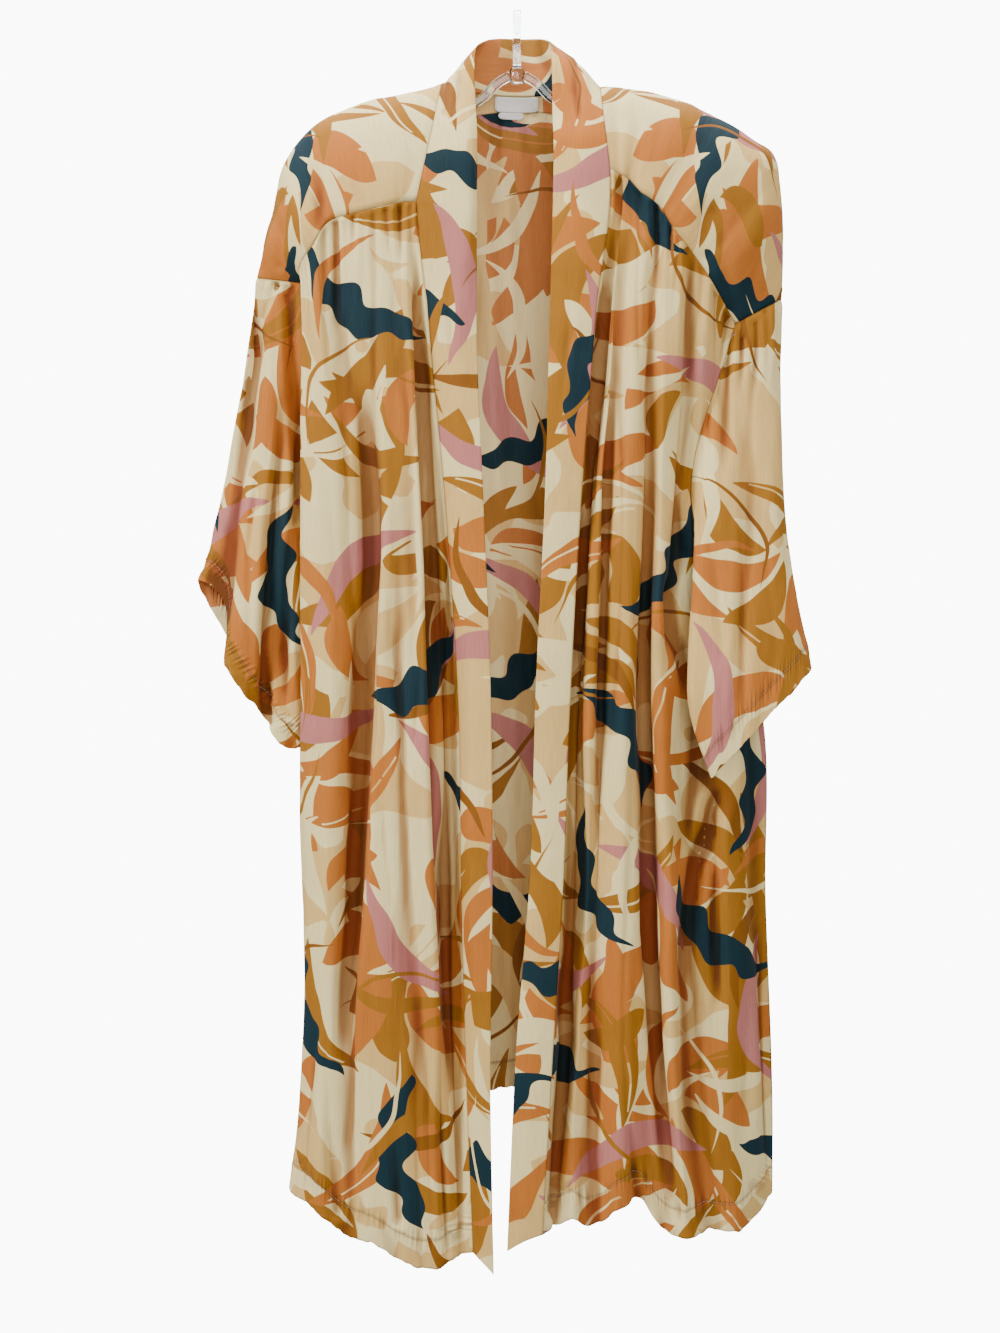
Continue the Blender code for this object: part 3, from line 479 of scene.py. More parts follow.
def back_spot(column, count, z, side_y):
    """Place of the hanging back at one column and height: a turn at each side, gentle flutes between."""
    levels = [row[0] for row in BACK_LEVELS]
    left, right, depth, flute = (at_level(levels, [row[k] for row in BACK_LEVELS], z) for k in (1, 2, 3, 4))
    share = (column - 1) / (count - 2)
    if column in (1, count - 1):
        return Vector((blend(left, right, share), blend(side_y, depth, BACK_TURN), z))
    wave = math.cos(math.pi * (column - 1) / PART_FOLD_STEPS)
    wave *= 1 - FLUTE_VARY + FLUTE_VARY * math.cos(column * FLUTE_CHANGE)
    return Vector((blend(left, right, share), depth - flute * wave, z))


def back_grid(left_front, right_front):
    """Back panel. Its sides below the underarm are the fronts' own side seams."""
    top = back_top((len(LEFT_FOLDS) - 1) * PART_FOLD_STEPS, (len(RIGHT_FOLDS) - 1) * PART_FOLD_STEPS)
    count = len(top) - 1
    rows = []
    for row, (stretch, share) in enumerate(row_places()):
        points = []
        for column, start in enumerate(top):
            across = column / count
            underarm = blend(LEFT_UNDERARM, RIGHT_UNDERARM, across)
            arch = 4 * across * (1 - across)
            side_hem = blend(BACK_HEM_LEFT, BACK_HEM_RIGHT, across)
            hem = blend(side_hem, BACK_HEM_CENTRE, arch)
            z = row_height(stretch, share, start.z, underarm, hem)
            side = left_front if across < 0.5 else right_front
            hung = back_spot(column, count, z, side[row][-1].y)
            settled = share if stretch == 0 else 1.0
            points.append(Vector((blend(start.x, hung.x, settled), blend(start.y, hung.y, settled), z)))
        if stretch == 0:
            for end, front in ((0, left_front), (-1, right_front)):
                under = front[UNDERARM_ROW][-1]
                points[end] = top[end].lerp(under, share)
                points[end].y = blend(top[end].y, under.y, share ** ARMHOLE_ROUND)
        else:
            points[0] = left_front[row][-1].copy()
            points[-1] = right_front[row][-1].copy()
        rows.append([along(points, column / FINE) for column in range(count * FINE + 1)])
    return rows


def over_shoulder(front, ridge, back):
    """Line of the yoke from its front edge over the shoulder line to its back edge."""
    line = []
    for edge, curve, first in ((front, math.sin, 0), (back, math.cos, 1)):
        for step in range(first, YOKE_STEPS + 1):
            rise = curve(0.5 * math.pi * step / YOKE_STEPS)
            spot = edge.lerp(ridge, rise)
            spot.y = ridge.y + (edge.y - ridge.y) * math.sqrt(max(0.0, 1 - rise * rise))
            line.append(spot)
    return line


def yoke_grid(front_row, shoulder, back_row):
    """Yoke over one shoulder: a column for each column of the front below it."""
    ridge = by_length([Vector((x, 0, z)) for x, z in shoulder], chord_shares(front_row))
    lines = [over_shoulder(front_row[i], ridge[i], back_row[i]) for i in range(len(front_row))]
    return [[line[step] for line in lines] for step in range(2 * YOKE_STEPS + 1)]


def neck_grid(left_line, right_line, back_row):
    """Strip of the yoke behind the neck, between the two shoulders."""
    neck = by_length([Vector(p) for p in BACK_NECK], [step / NECK_STEPS for step in range(NECK_STEPS + 1)])
    lines = []
    for column in range(NECK_STEPS + 1):
        lines.append(over_shoulder(neck[column], neck[column], back_row[column])[YOKE_STEPS:])
    lines[0] = left_line
    lines[-1] = right_line
    return [[line[step] for line in lines] for step in range(YOKE_STEPS + 1)]


def armhole_ring(yoke, front, back, back_column):
    """Closed ring of the armhole from the shoulder, down the front, up the back, with the part's steps."""
    ring = []
    steps = []
    quarter = PART_YOKE_STEPS
    for step in range(YOKE_STEPS, 0, -1):
        ring.append(yoke[step][-1])
        steps.append(quarter * (1 - step / YOKE_STEPS))
    for row in range(UNDERARM_ROW):
        ring.append(front[row][-1])
        steps.append(quarter * (1 + UPPER_SHARES[row]))
    for row in range(UNDERARM_ROW, 0, -1):
        ring.append(back[row][back_column])
        steps.append(quarter * (3 - UPPER_SHARES[row]))
    for step in range(2 * YOKE_STEPS, YOKE_STEPS, -1):
        ring.append(yoke[step][-1])
        steps.append(quarter * (5 - step / YOKE_STEPS))
    return ring, steps


def closed_ring(table_steps, points, steps):
    """Ring on the closed smooth curve through points placed at their steps."""
    count = TABLE_RING_STEPS
    extended_steps = [table_steps[-1] - count] + list(table_steps) + [count, count + table_steps[1]]
    extended = [points[-1]] + list(points) + [points[0], points[1]]
    ring = []
    for step in steps:
        index = 1
        while extended_steps[index + 1] <= step:
            index += 1
        share = (step - extended_steps[index]) / (extended_steps[index + 1] - extended_steps[index])
        ring.append(catmull(*extended[index - 1:index + 3], share))
    return ring


def sleeve_grid(armhole, steps, table):
    """Sleeve from the armhole to the cuff, opened along the underarm so that both sides meet there."""
    rings = [armhole]
    for ring in range(4):
        points = [Vector(row[2 + ring]) for row in table]
        rings.append(closed_ring([row[1] for row in table], points, steps))
    start = YOKE_STEPS + UNDERARM_ROW
    order = list(range(start, len(steps))) + list(range(start + 1))
    rows = []
    for share in SLEEVE_SHARES:
        place = share * (len(rings) - 1)
        rows.append([along([ring[k] for ring in rings], place) for k in order])
    return rows


def band_side(table, other_table, seam, places):
    """Rows of the band along one side, from the hem to the middle of the back neck."""
    crease = [Vector(row[1]) for row in table] + [Vector(other_table[-2][1])]
    edge = [Vector(row[2]) for row in table] + [Vector(other_table[-2][2])]
    stations = [round(PART_ROWS_TO_HEM * quarter / 4) for quarter in range(5)]
    stations += [PART_ROWS_TO_HEM + PART_ROWS_TO_UNDERARM // 2, PART_ROWS_TO_HEM + PART_ROWS_TO_UNDERARM]
    stations += [stations[-1] + PART_YOKE_STEPS // 2, stations[-1] + PART_YOKE_STEPS]
    half = PART_NECK_STEPS // 2
    stations += [stations[-1] + half // 2, stations[-1] + half]
    rows = []
    for place, start in zip(places, seam):
        station = 0
        while station < len(stations) - 2 and stations[station + 1] <= place:
            station += 1
        share = (place - stations[station]) / (stations[station + 1] - stations[station])
        cross = [start, along(crease, station + share), along(edge, station + share)]
        rows.append([along(cross, 2 * step / BAND_STEPS) for step in range(BAND_STEPS + 1)])
    return rows


def seam_of_side(front, yoke, neck_half):
    """Points of one side of the band's seam and their places in the part's rows."""
    seam = [row[0] for row in reversed(front)]
    places = [PART_ROWS_TO_HEM * (1 - share) for share in reversed(LOWER_SHARES)]
    places += [PART_ROWS_TO_HEM + PART_ROWS_TO_UNDERARM * (1 - share)
               for share in reversed(UPPER_SHARES[:-1])]
    seam += [yoke[step][0] for step in range(1, YOKE_STEPS + 1)]
    start = PART_ROWS_TO_HEM + PART_ROWS_TO_UNDERARM
    places += [start + PART_YOKE_STEPS * step / YOKE_STEPS for step in range(1, YOKE_STEPS + 1)]
    seam += neck_half
    start += PART_YOKE_STEPS
    places += [start + (step + 1) / FINE for step in range(len(neck_half))]
    return seam, places


def true_place(point):
    """Real place of a point read off the photo at the middle plane."""
    scale = 1 + point.y / VIEW_DISTANCE
    return Vector((blend(EYE_SIDE, point.x, scale), point.y, blend(EYE_LEVEL, point.z, scale)))


class Grid:
    """One stretch of cloth: its points, and for each the lengths to its sides along the cloth."""

    def __init__(self, rows, flip, sewn=(), hems=(), still=(), straight=0.5, upright=True):
        self.seen = rows
        self.rows = [[true_place(point) for point in row] for row in rows]
        self.flip = flip
        straight = round(straight * (len(rows[0]) - 1))
        self.sewn, self.hems, self.still = sewn, hems, still
        self.height, self.width = len(rows), len(rows[0])
        self.across = []
        for row in self.rows:
            lengths = [0.0]
            for before, after in zip(row, row[1:]):
                lengths.append(lengths[-1] + (after - before).length)
            self.across.append(lengths)
        self.down = [[0.0] * self.width]
        for before, after in zip(self.rows, self.rows[1:]):
            self.down.append([d + (b - a).length for d, a, b in zip(self.down[-1], before, after)])
        self.flat = self.laid_flat(straight, upright)

    def laid_flat(self, straight, upright):
        """Places on the flat cloth, first measured from one column, then every length eased to the real one.

        Upright cloth keeps its heights, so that slanting rows don't shear the print.
        """
        spots = np.array([[point.to_tuple() for point in row] for row in self.rows])
        across, down = np.array(self.across), np.array(self.down)
        start = np.zeros(self.height)
        if upright:
            steps = np.linalg.norm(np.diff(spots[..., :2], axis=1), axis=2)
            across[:, 1:] = np.cumsum(steps, axis=1)
            down = -spots[..., 2]
            aside = spots[:, straight + 1, :2] - spots[:, straight - 1, :2]
            aside /= np.linalg.norm(aside, axis=1, keepdims=True)
            moved = np.diff(spots[:, straight, :2], axis=0)
            start[1:] = np.cumsum((moved * aside[1:]).sum(axis=1))
        flat = np.stack((across - across[:, straight:straight + 1] + start[:, None], -down), axis=2)
        links = ((np.s_[:, :-1], np.s_[:, 1:]), (np.s_[:-1], np.s_[1:]),
                 (np.s_[:-1, :-1], np.s_[1:, 1:]), (np.s_[:-1, 1:], np.s_[1:, :-1]))
        lengths = [np.linalg.norm(spots[b] - spots[a], axis=2) for a, b in links]
        for _ in range(EASING_STEPS):
            move = np.zeros_like(flat)
            for (a, b), length in zip(links, lengths):
                gap = flat[b] - flat[a]
                now = np.maximum(np.linalg.norm(gap, axis=2), 1e-6)
                fix = gap * ((now - length) / now)[..., None]
                move[a] += fix
                move[b] -= fix
            flat += move * EASING
        return [[(float(x) * MM, float(y) * MM) for x, y in row] for row in flat]

    def cells(self):
        """Rows and columns of the corners of every cell, in the order that faces outwards."""
        for row in range(self.height - 1):
            for column in range(self.width - 1):
                corners = [(row, column), (row, column + 1), (row + 1, column + 1), (row + 1, column)]
                yield corners[::-1] if self.flip else corners

    def to_side(self, side, row, column):
        if side == "top":
            return self.down[row][column]
        if side == "bottom":
            return self.down[-1][column] - self.down[row][column]
        if side == "first":
            return self.across[row][column]
        return self.across[row][-1] - self.across[row][column]

    def nearest(self, sides, row, column):
        """Length to the nearest of some sides, and the place along that side."""
        best = (FAR, 0.0)
        for side in sides:
            length = self.to_side(side, row, column)
            if length < best[0]:
                run = self.across[row][column] if side in ("top", "bottom") else self.down[row][column]
                best = (length, run)
        return best


def spot_key(point):
    return (round(point.x, 3), round(point.y, 3), round(point.z, 3))


def bell(place, width):
    return math.exp(-(place / width) ** 2)


def ripple(run, length, seed):
    """Uneven ripple along a seam."""
    scale, most = RIPPLE_SHIFT
    shift = noise.noise(Vector((run / scale, seed, 0.5))) * most
    scale, middle, vary = RIPPLE_STRENGTH
    strength = middle + vary * noise.noise(Vector((run / scale, seed + 7, 2.5)))
    return math.sin(2 * math.pi * (run / length + shift)) * strength


def ripple_beside(shape, distance, run, seed):
    """Ripple in a strip beside a seam or a line of stitches."""
    height, middle, width, length = shape
    return height * bell(distance - middle, width) * ripple(run, length, seed)


def relief(grid, row, column, look, normal):
    """Height of the small folds above the form, outwards."""
    seam, run = grid.nearest(grid.sewn, row, column)
    edge, edge_run = grid.nearest(grid.hems, row, column)
    rest, _ = grid.nearest(grid.sewn + grid.still, row, column)
    u, v = (length / MM for length in grid.flat[row][column])
    seed, hem = look["seed"], look["hem_depth"]
    fade = smooth(rest, 0.0, SEAM_REST)
    wide, slant, long = SMALL_FOLD
    fold = noise.noise(Vector((u / look["fold_width"], v / look["fold_length"], seed)))
    small = noise.noise(Vector((u / wide + v / slant, v / long, seed + 3)))
    line = noise.noise(Vector((u / look["crease_width"], v / look["crease_length"], seed + 5)))
    crease = max(0.0, 1 - math.hypot(line, CREASE_ROUND) / CREASE_REACH) ** 2
    height = look["fold_depth"] * fold + look["small_depth"] * small - look["crease_depth"] * crease
    height *= fade
    if normal.y < FRONT_FACING:
        spot = grid.seen[row][column]
        height -= smooth(rest, 0.0, DRAWN_REST) * DRAWN_DEPTH * crease_at(spot.x, spot.z, look["creases"])
    if look["gathered"]:
        top = grid.down[row][column]
        gather = look["gather_depth"] * math.exp(-top / look["gather_run"]) * smooth(top, 0.0, GATHER_START)
        height += gather * ripple(u, GATHER_WAVE, seed)
    height += ripple_beside(SEAM_RIPPLE, seam, run, seed + 1)
    height -= SEAM_GROOVE[0] * bell(seam, SEAM_GROOVE[1])
    if hem and edge < HEM_REACH * hem:
        height += fade * ripple_beside(HEM_RIPPLE, edge - hem, edge_run, seed + 2)
        height += fade * ripple_beside(EDGE_RIPPLE, edge, edge_run, seed + 4)
        height -= HEM_GROOVE[0] * bell(edge - hem, HEM_GROOVE[1])
    return height


def hem_wave(grid, row, column, look):
    """Rise and fall of the free edge where the hem's stitching draws it up."""
    edge, run = grid.nearest(grid.hems, row, column)
    if not look["hem_depth"] or edge > HEM_WAVE_REACH:
        return 0.0
    sides, _ = grid.nearest(grid.sewn, row, column)
    wave = sum(share * noise.noise(Vector((run / length, look["seed"], place)))
               for length, place, share in HEM_WAVES)
    return HEM_WAVE * wave * bell(edge, HEM_WAVE_FADE) * smooth(sides, 0.0, HEM_WAVE_REST)


def fold_shade_at(grid, rows, row, column, normal):
    """How deep a point lies in a fold of its row, up to 1, or how far it stands proud, down to -1; this depth
    darkens the colour as painted shade.
    """
    depth = 0.0
    for columns, full in FOLD_SHADE_SPANS:
        if columns <= column < grid.width - columns:
            before, spot, after = rows[row][column - columns], rows[row][column], rows[row][column + columns]
            depth += ((before + after) / 2 - spot).dot(normal) / full
    return min(max(depth, -1.0), 1.0)


def photo_lines(name):
    """The drawn creases of a piece, from pixels of the photo to millimetres."""
    return [(half_width, [((x - AXIS_PIXEL) * PIXEL, (TOP_PIXEL - y) * PIXEL, depth) for x, y, depth in line])
            for half_width, line in CREASES.get(name, ())]


def crease_at(x, z, lines):
    """Depth of the drawn creases at a place seen from the front."""
    depth = 0.0
    for half_width, line in lines:
        reach = DRAWN_REACH * half_width
        best = (FAR, 0.0)
        for (x0, z0, d0), (x1, z1, d1) in zip(line, line[1:]):
            if z > max(z0, z1) + reach or z < min(z0, z1) - reach:
                continue
            long_x, long_z = x1 - x0, z1 - z0
            share = ((x - x0) * long_x + (z - z0) * long_z) / (long_x * long_x + long_z * long_z)
            share = min(max(share, 0.0), 1.0)
            away = math.hypot(x - x0 - share * long_x, z - z0 - share * long_z)
            if away < best[0]:
                best = (away, blend(d0, d1, share))
        if best[0] < reach:
            near = best[0] / half_width
            share, middle, width = DRAWN_RIDGE
            depth += best[1] * (bell(near, 1.0) - share * bell(near - middle, width))
    return depth


def new_item(name, data):
    """Object of some data, linked to the scene."""
    item = bpy.data.objects.new(name, data)
    bpy.context.scene.collection.objects.link(item)
    return item


def smooth_item(name, mesh, *materials):
    """Smoothly shaded object of a mesh."""
    mesh.polygons.foreach_set("use_smooth", [True] * len(mesh.polygons))
    for material in materials:
        mesh.materials.append(material)
    return new_item(name, mesh)


def attach(piece, node):
    """Let a piece take the place of a node of the part."""
    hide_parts(node)
    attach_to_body(piece, "root")


def shell(name, pairs, quads, facts, inner_slot):
    """Closed mesh of cloth from the outer and inner place of each point, with facts of the points.

    Each quad is given by its four points and their places on the flat cloth.
    """
    count = len(pairs)
    faces, places, slots, sides = [], [], [], {}
    for ring, flat in quads:
        faces += [ring, [index + count for index in reversed(ring)]]
        places += [flat, flat[::-1]]
        slots += [0, inner_slot]
        for k in range(4):
            a, b = ring[k], ring[(k + 1) % 4]
            if (b, a) in sides:
                del sides[(b, a)]
            else:
                sides[(a, b)] = (flat[k], flat[(k + 1) % 4])
    for (a, b), (flat_a, flat_b) in sides.items():
        faces.append((b, a, a + count, b + count))
        places.append((flat_b, flat_a, flat_a, flat_b))
        slots.append(0)
    mesh = bpy.data.meshes.new(name)
    mesh.from_pydata([outer for outer, _ in pairs] + [inner for _, inner in pairs], [], faces)
    layer = mesh.uv_layers.new(name="cloth")
    layer.data.foreach_set("uv", [value for flat in places for pair in flat for value in pair])
    for fact, values in facts.items():
        mesh.attributes.new(fact, "FLOAT", "POINT").data.foreach_set("value", values + values)
    mesh.polygons.foreach_set("material_index", slots)
    mesh.update()
    return mesh


def cloth_piece(name, grids, look):
    """Thin shell of one piece, with its cloth coordinates, the lengths to seams and hems, and the depth in
    its folds for painted shade.
    """
    look = dict(look, creases=photo_lines(name.removesuffix("_cloth")))
    hem = look["hem_depth"]
    sums = {}
    for grid in grids:
        for corners in grid.cells():
            a, b, c, d = ring = [grid.rows[row][column] for row, column in corners]
            normal = (c - a).cross(d - b)
            for point in ring:
                total = sums.setdefault(spot_key(point), Vector())
                total += normal
    numbers, pairs, quads = {}, [], []
    facts = {"seam": [], "edge": [], "run": [], "fold_shade": []}
    for grid in grids:
        normals = [[sums[spot_key(spot)].normalized() for spot in row] for row in grid.rows]
        lifted = []
        for row, spots in enumerate(grid.rows):
            lifted.append([])
            for column, spot in enumerate(spots):
                normal = normals[row][column]
                place = spot + normal * relief(grid, row, column, look, normal)
                place.z += hem_wave(grid, row, column, look)
                lifted[-1].append(place)
        for row, spots in enumerate(grid.rows):
            for column, spot in enumerate(spots):
                key = spot_key(spot)
                if key in numbers:
                    continue
                numbers[key] = len(pairs)
                place, normal = lifted[row][column], normals[row][column]
                seam, run = grid.nearest(grid.sewn, row, column)
                edge, edge_run = grid.nearest(grid.hems, row, column)
                folded = 1 - smooth(edge, hem, hem + HEM_STEP) if hem else 0.0
                thick = CLOTH / 2 + HEM_EXTRA * folded
                pairs.append(((place + normal * CLOTH / 2) * MM, (place - normal * thick) * MM))
                facts["seam"].append(seam)
                facts["edge"].append(edge)
                facts["run"].append(run if seam < edge else edge_run)
                # Depth of the point in its fold, which darkens the colour as painted shade
                facts["fold_shade"].append(fold_shade_at(grid, lifted, row, column, normal))
        for corners in grid.cells():
            ring = [numbers[spot_key(grid.rows[row][column])] for row, column in corners]
            if len(set(ring)) == 4:
                quads.append((ring, [grid.flat[row][column] for row, column in corners]))
    return smooth_item(name, shell(name, pairs, quads, facts, 1))


def operation(kind, swapped=False):
    """Arithmetic on values of a shader tree as a maths node."""
    def method(self, other):
        return self.nodes.math(kind, *((other, self) if swapped else (self, other)))
    return method


class Value:
    """Output of a shader node. Plain arithmetic with numbers adds maths nodes."""

    def __init__(self, nodes, socket):
        self.nodes, self.socket = nodes, socket

    __add__ = operation("ADD")
    __sub__ = operation("SUBTRACT")
    __rsub__ = operation("SUBTRACT", True)
    __mul__ = operation("MULTIPLY")
    __truediv__ = operation("DIVIDE")
    __pow__ = operation("POWER")
    __mod__ = operation("MODULO")
    __lt__ = operation("LESS_THAN")
    __gt__ = operation("GREATER_THAN")

    def __abs__(self):
        return self.nodes.math("ABSOLUTE", self)


class Nodes:
    """Short ways to add and join shader nodes in one tree."""

    def __init__(self, tree):
        self.tree = tree

    def join(self, value, socket):
        if isinstance(value, Value):
            self.tree.links.new(value.socket, socket)
        else:
            socket.default_value = value

    def add(self, kind, inputs=(), **settings):
        """New node with some settings, and with some inputs joined or set."""
        node = self.tree.nodes.new("ShaderNode" + kind)
        for name, value in settings.items():
            setattr(node, name, value)
        for name, value in dict(inputs).items():
            self.join(value, node.inputs[name])
        return node

    def out(self, kind, inputs=(), output=0, **settings):
        return Value(self, self.add(kind, inputs, **settings).outputs[output])

    def math(self, kind, *values, clamp=False):
        return self.out("Math", enumerate(values), operation=kind, use_clamp=clamp)

    def vector(self, kind, *values):
        output = "Value" if kind == "LENGTH" else "Vector"
        return self.out("VectorMath", enumerate(values), output, operation=kind)

    def placed(self, place, move, turn, scale=(1, 1, 1)):
        return self.out("Mapping", {"Vector": place, "Location": move, "Rotation": (0, 0, turn),
                                    "Scale": scale})

    def parts(self, place):
        return [Value(self, output) for output in self.add("SeparateXYZ", {0: place}).outputs]

    def together(self, *values):
        return self.out("CombineXYZ", enumerate(values))

    def noise(self, place, scale, detail, distortion=0.0):
        """Noise with one scale, or with one for each axis."""
        if isinstance(scale, tuple):
            place, scale = self.vector("MULTIPLY", place, scale), 1.0
        return self.out("TexNoise", {"Vector": place, "Scale": scale, "Detail": detail,
                                     "Distortion": distortion})

    def chance(self, place):
        node = self.add("TexWhiteNoise", {"Vector": place}, noise_dimensions="3D")
        return Value(self, node.outputs["Value"]), Value(self, node.outputs["Color"])

    def mix(self, factor, a, b, blend_type="MIX"):
        return self.out("Mix", {0: factor, 6: a, 7: b}, 2, data_type="RGBA", blend_type=blend_type)

    def tint(self, value, colour, limits, shade):
        """Colour darkened by a shade, as strongly as a value says."""
        return self.mix(self.ranged(value, *limits), colour, linear(*shade), "MULTIPLY")

    def ranged(self, value, low, high, to_low=0.0, to_high=1.0):
        return self.out("MapRange", {"Value": value, "From Min": low, "From Max": high,
                                     "To Min": to_low, "To Max": to_high})

    def inside(self, away):
        """Mask of what lies inside an outline, from the distance outwards."""
        return self.math("MULTIPLY_ADD", away, -EDGE, 0.5, clamp=True)

    def picked(self, value, colours):
        """One of some colours in equal steps of a value from 0 to 1."""
        if len(colours) == 1:
            return colours[0]
        node = self.add("ValToRGB", {"Fac": value})
        node.color_ramp.interpolation = "CONSTANT"
        stops = node.color_ramp.elements
        for index, colour in enumerate(colours):
            stop = stops[index] if index < 2 else stops.new(index / len(colours))
            stop.position = index / len(colours)
            stop.color = colour
        return Value(self, node.outputs["Color"])

    def flat_cloth(self):
        """Place on the flat cloth in millimetres."""
        return self.vector("MULTIPLY", self.out("UVMap", uv_map="cloth"), (1 / MM, 1 / MM, 1 / MM))

    def wave(self, run, length, shift=0.0):
        return self.math("SINE", run * (2 * math.pi / length) + shift)

    def fact(self, name):
        return self.out("Attribute", output="Fac", attribute_name=name)

    def surface(self, height, strength, distance, inputs):
        """Finish of the material, with its relief in metres."""
        bump = self.out("Bump", {"Strength": strength, "Distance": distance, "Height": height})
        self.add("OutputMaterial", {0: self.out("BsdfPrincipled", dict(inputs, Normal=bump))})


def new_material(name):
    """Empty material and its nodes."""
    material = bpy.data.materials.new(name)
    material.use_nodes = True
    material.node_tree.nodes.clear()
    return material, Nodes(material.node_tree)


def linear(*shades):
    """Linear colour of one given in the 0 to 255 scale of a screen."""
    values = [shade / 255 for shade in shades]
    values = [v / 12.92 if v <= 0.04045 else ((v + 0.055) / 1.055) ** 2.4 for v in values]
    return (*values, 1.0)


CREAM = linear(246, 226, 160)
SAND = linear(224, 186, 112)
OCHRE = linear(160, 105, 20)
TERRACOTTA = linear(190, 112, 40)
BROWN = linear(138, 84, 14)
PINK = linear(190, 120, 112)
TEAL = linear(8, 42, 52)
FULL_TURN = 6.283
EDGE = 1.7
LEAF_REACH, LEAF_SHIFT, LEAF_ROUND, LEAF_WIDTHS = 0.45, 0.09, 0.8, (0.7, 1.15)
VEIN_HALF, VEIN_END, VEIN_POINT = 0.9, 0.62, 30.0
FAN_REACH, FAN_SHIFT, PETAL_ROUND, PETAL_ROOM = 0.475, 0.05, 2.6, 0.93
PETAL_ENDS, PETAL_STARTS, PETAL_FOOT = (0.68, 1.0), (0.05, 0.2), 0.35


def cells(n, place, size, turn, move, seed, jitter):
    """Turned square cells with one motif each: its own turned place, and random values of the cell."""
    mapped = n.placed(place, move, turn, (1 / size, 1 / size, 1))
    cell = n.vector("FLOOR", mapped)
    value, colour = n.chance(n.vector("ADD", cell, (seed, seed * 0.37, seed * 1.71)))
    random = n.parts(colour)
    local = n.vector("SUBTRACT", n.vector("FRACTION", mapped), (0.5, 0.5, 0))
    shift = n.vector("SUBTRACT", colour, (0.5, 0.5, 0.5))
    local = n.vector("SUBTRACT", local, n.vector("MULTIPLY", shift, (jitter, jitter, 0)))
    local = n.vector("MULTIPLY", local, (1, 1, 0))
    angle = n.ranged(random[2], 0.0, 1.0, 0.0, FULL_TURN)
    local = n.out("VectorRotate", {"Vector": local, "Angle": angle}, rotation_type="Z_AXIS")
    return cell, local, random, value


def leaf_layer(n, place, size, turn, move, seed, width, bend, chance, vein=0.0, wave=0.0):
    """Curved pointed leaves, one in a cell. Width is half a leaf's width in millimetres."""
    length = LEAF_REACH * size
    _, local, random, value = cells(n, place, size, turn, move, seed, LEAF_SHIFT)
    x, y, _ = n.parts(local)
    x = x * (size / length)
    square = x * x
    y = y * size - square * bend
    half = n.math("MAXIMUM", 1.0 - square, 0.0) ** LEAF_ROUND * width
    half = half * n.ranged(random[0], 0.0, 1.0, *LEAF_WIDTHS)
    if wave:
        y = y + n.math("SINE", x * 9.0 + random[0] * 6.0) * (wave * 0.5)
        half = half * (n.math("SINE", x * 14.0) * 0.2 + 1.0)
    mask = n.inside(n.math("MAXIMUM", abs(y) - half, (square - 1.0) * (length / 2)))
    if vein:
        line = n.math("MAXIMUM", abs(y - vein / 2) - VEIN_HALF, (square - VEIN_END) * VEIN_POINT)
        mask = mask * n.math("MULTIPLY_ADD", line, EDGE, 0.5, clamp=True)
    return mask * (value < chance), random[1]


def fan_layer(n, place, size, turn, move, seed, count, width, swirl, chance, opening):
    """Fans of curved petals round a point, one in a cell. Width is half a petal's width in millimetres."""
    cell, local, _, value = cells(n, place, size, turn, move, seed, FAN_SHIFT)
    x, y, _ = n.parts(local)
    radius = n.vector("LENGTH", local) * size
    steps = (n.math("ARCTAN2", y, x) + radius * swirl) * (count / (2 * math.pi))
    index = (n.math("FLOOR", steps) + 2.0 * count) % float(count)
    own, own_colour = n.chance(n.vector("ADD", cell, n.together(index, seed, 5.3)))
    pick, more, less = n.parts(own_colour)
    far, near = (n.ranged(value, 0.0, 1.0, *limits) * (FAN_REACH * size)
                 for value, limits in ((more, PETAL_ENDS), (less, PETAL_STARTS)))
    share = (radius - near) / (far - near)
    room = n.math("MAXIMUM", 1.0 - abs(share * 2.0 - 1.0) ** PETAL_ROUND, 0.0)
    half = room * (n.ranged(share, 0.0, 1.0, PETAL_FOOT, 1.0) * width)
    off = abs(n.math("FRACT", steps) - 0.5) * (radius * (2 * math.pi / count))
    away = off - n.math("MINIMUM", half, radius * (math.pi / count * PETAL_ROOM))
    return n.inside(away) * (half > 0.05) * (own < opening) * (value < chance), pick


# Layers of the print from the ground up: kind of motif; size of a cell in millimetres, turn, move, seed
# and what that kind takes after them; and the colours of its motifs
PRINT_LAYERS = (
    (fan_layer, (236, 0.5, (0.2, 0.1, 0), 3, 8, 27, 0.011, 1.0, 0.9),
     (TERRACOTTA, OCHRE, TERRACOTTA, SAND, OCHRE)),
    (leaf_layer, (168, 0.9, (0.6, 0.3, 0), 11, 21, 34, 0.9), (TERRACOTTA, SAND, OCHRE, TERRACOTTA, CREAM)),
    (leaf_layer, (150, 2.0, (0.15, 0.7, 0), 13, 19, -30, 0.9), (OCHRE, TERRACOTTA, CREAM, SAND)),
    (fan_layer, (204, 1.2, (0.7, 0.4, 0), 5, 8, 20, -0.013, 0.9, 0.72),
     (OCHRE, TERRACOTTA, CREAM, SAND, TERRACOTTA)),
    (leaf_layer, (128, 1.7, (0.8, 0.5, 0), 29, 7, 24, 0.8), (CREAM, OCHRE, CREAM, BROWN)),
    (leaf_layer, (142, 0.35, (0.1, 0.8, 0), 17, 13, -26, 0.75, 5.0), (OCHRE, TERRACOTTA, CREAM, OCHRE)),
    (leaf_layer, (158, 2.7, (0.35, 0.55, 0), 37, 13, 26, 0.62), (PINK,)),
    (leaf_layer, (150, 2.1, (0.4, 0.2, 0), 23, 16, 24, 0.66, 0.0, 9.0), (TEAL,)),
    (leaf_layer, (118, 2.4, (0.9, 0.15, 0), 41, 8, 22, 0.55), (CREAM, OCHRE, TERRACOTTA)),
    (leaf_layer, (130, 2.9, (0.5, 0.6, 0), 31, 2.6, 26, 0.7), (OCHRE, CREAM, BROWN)),
)
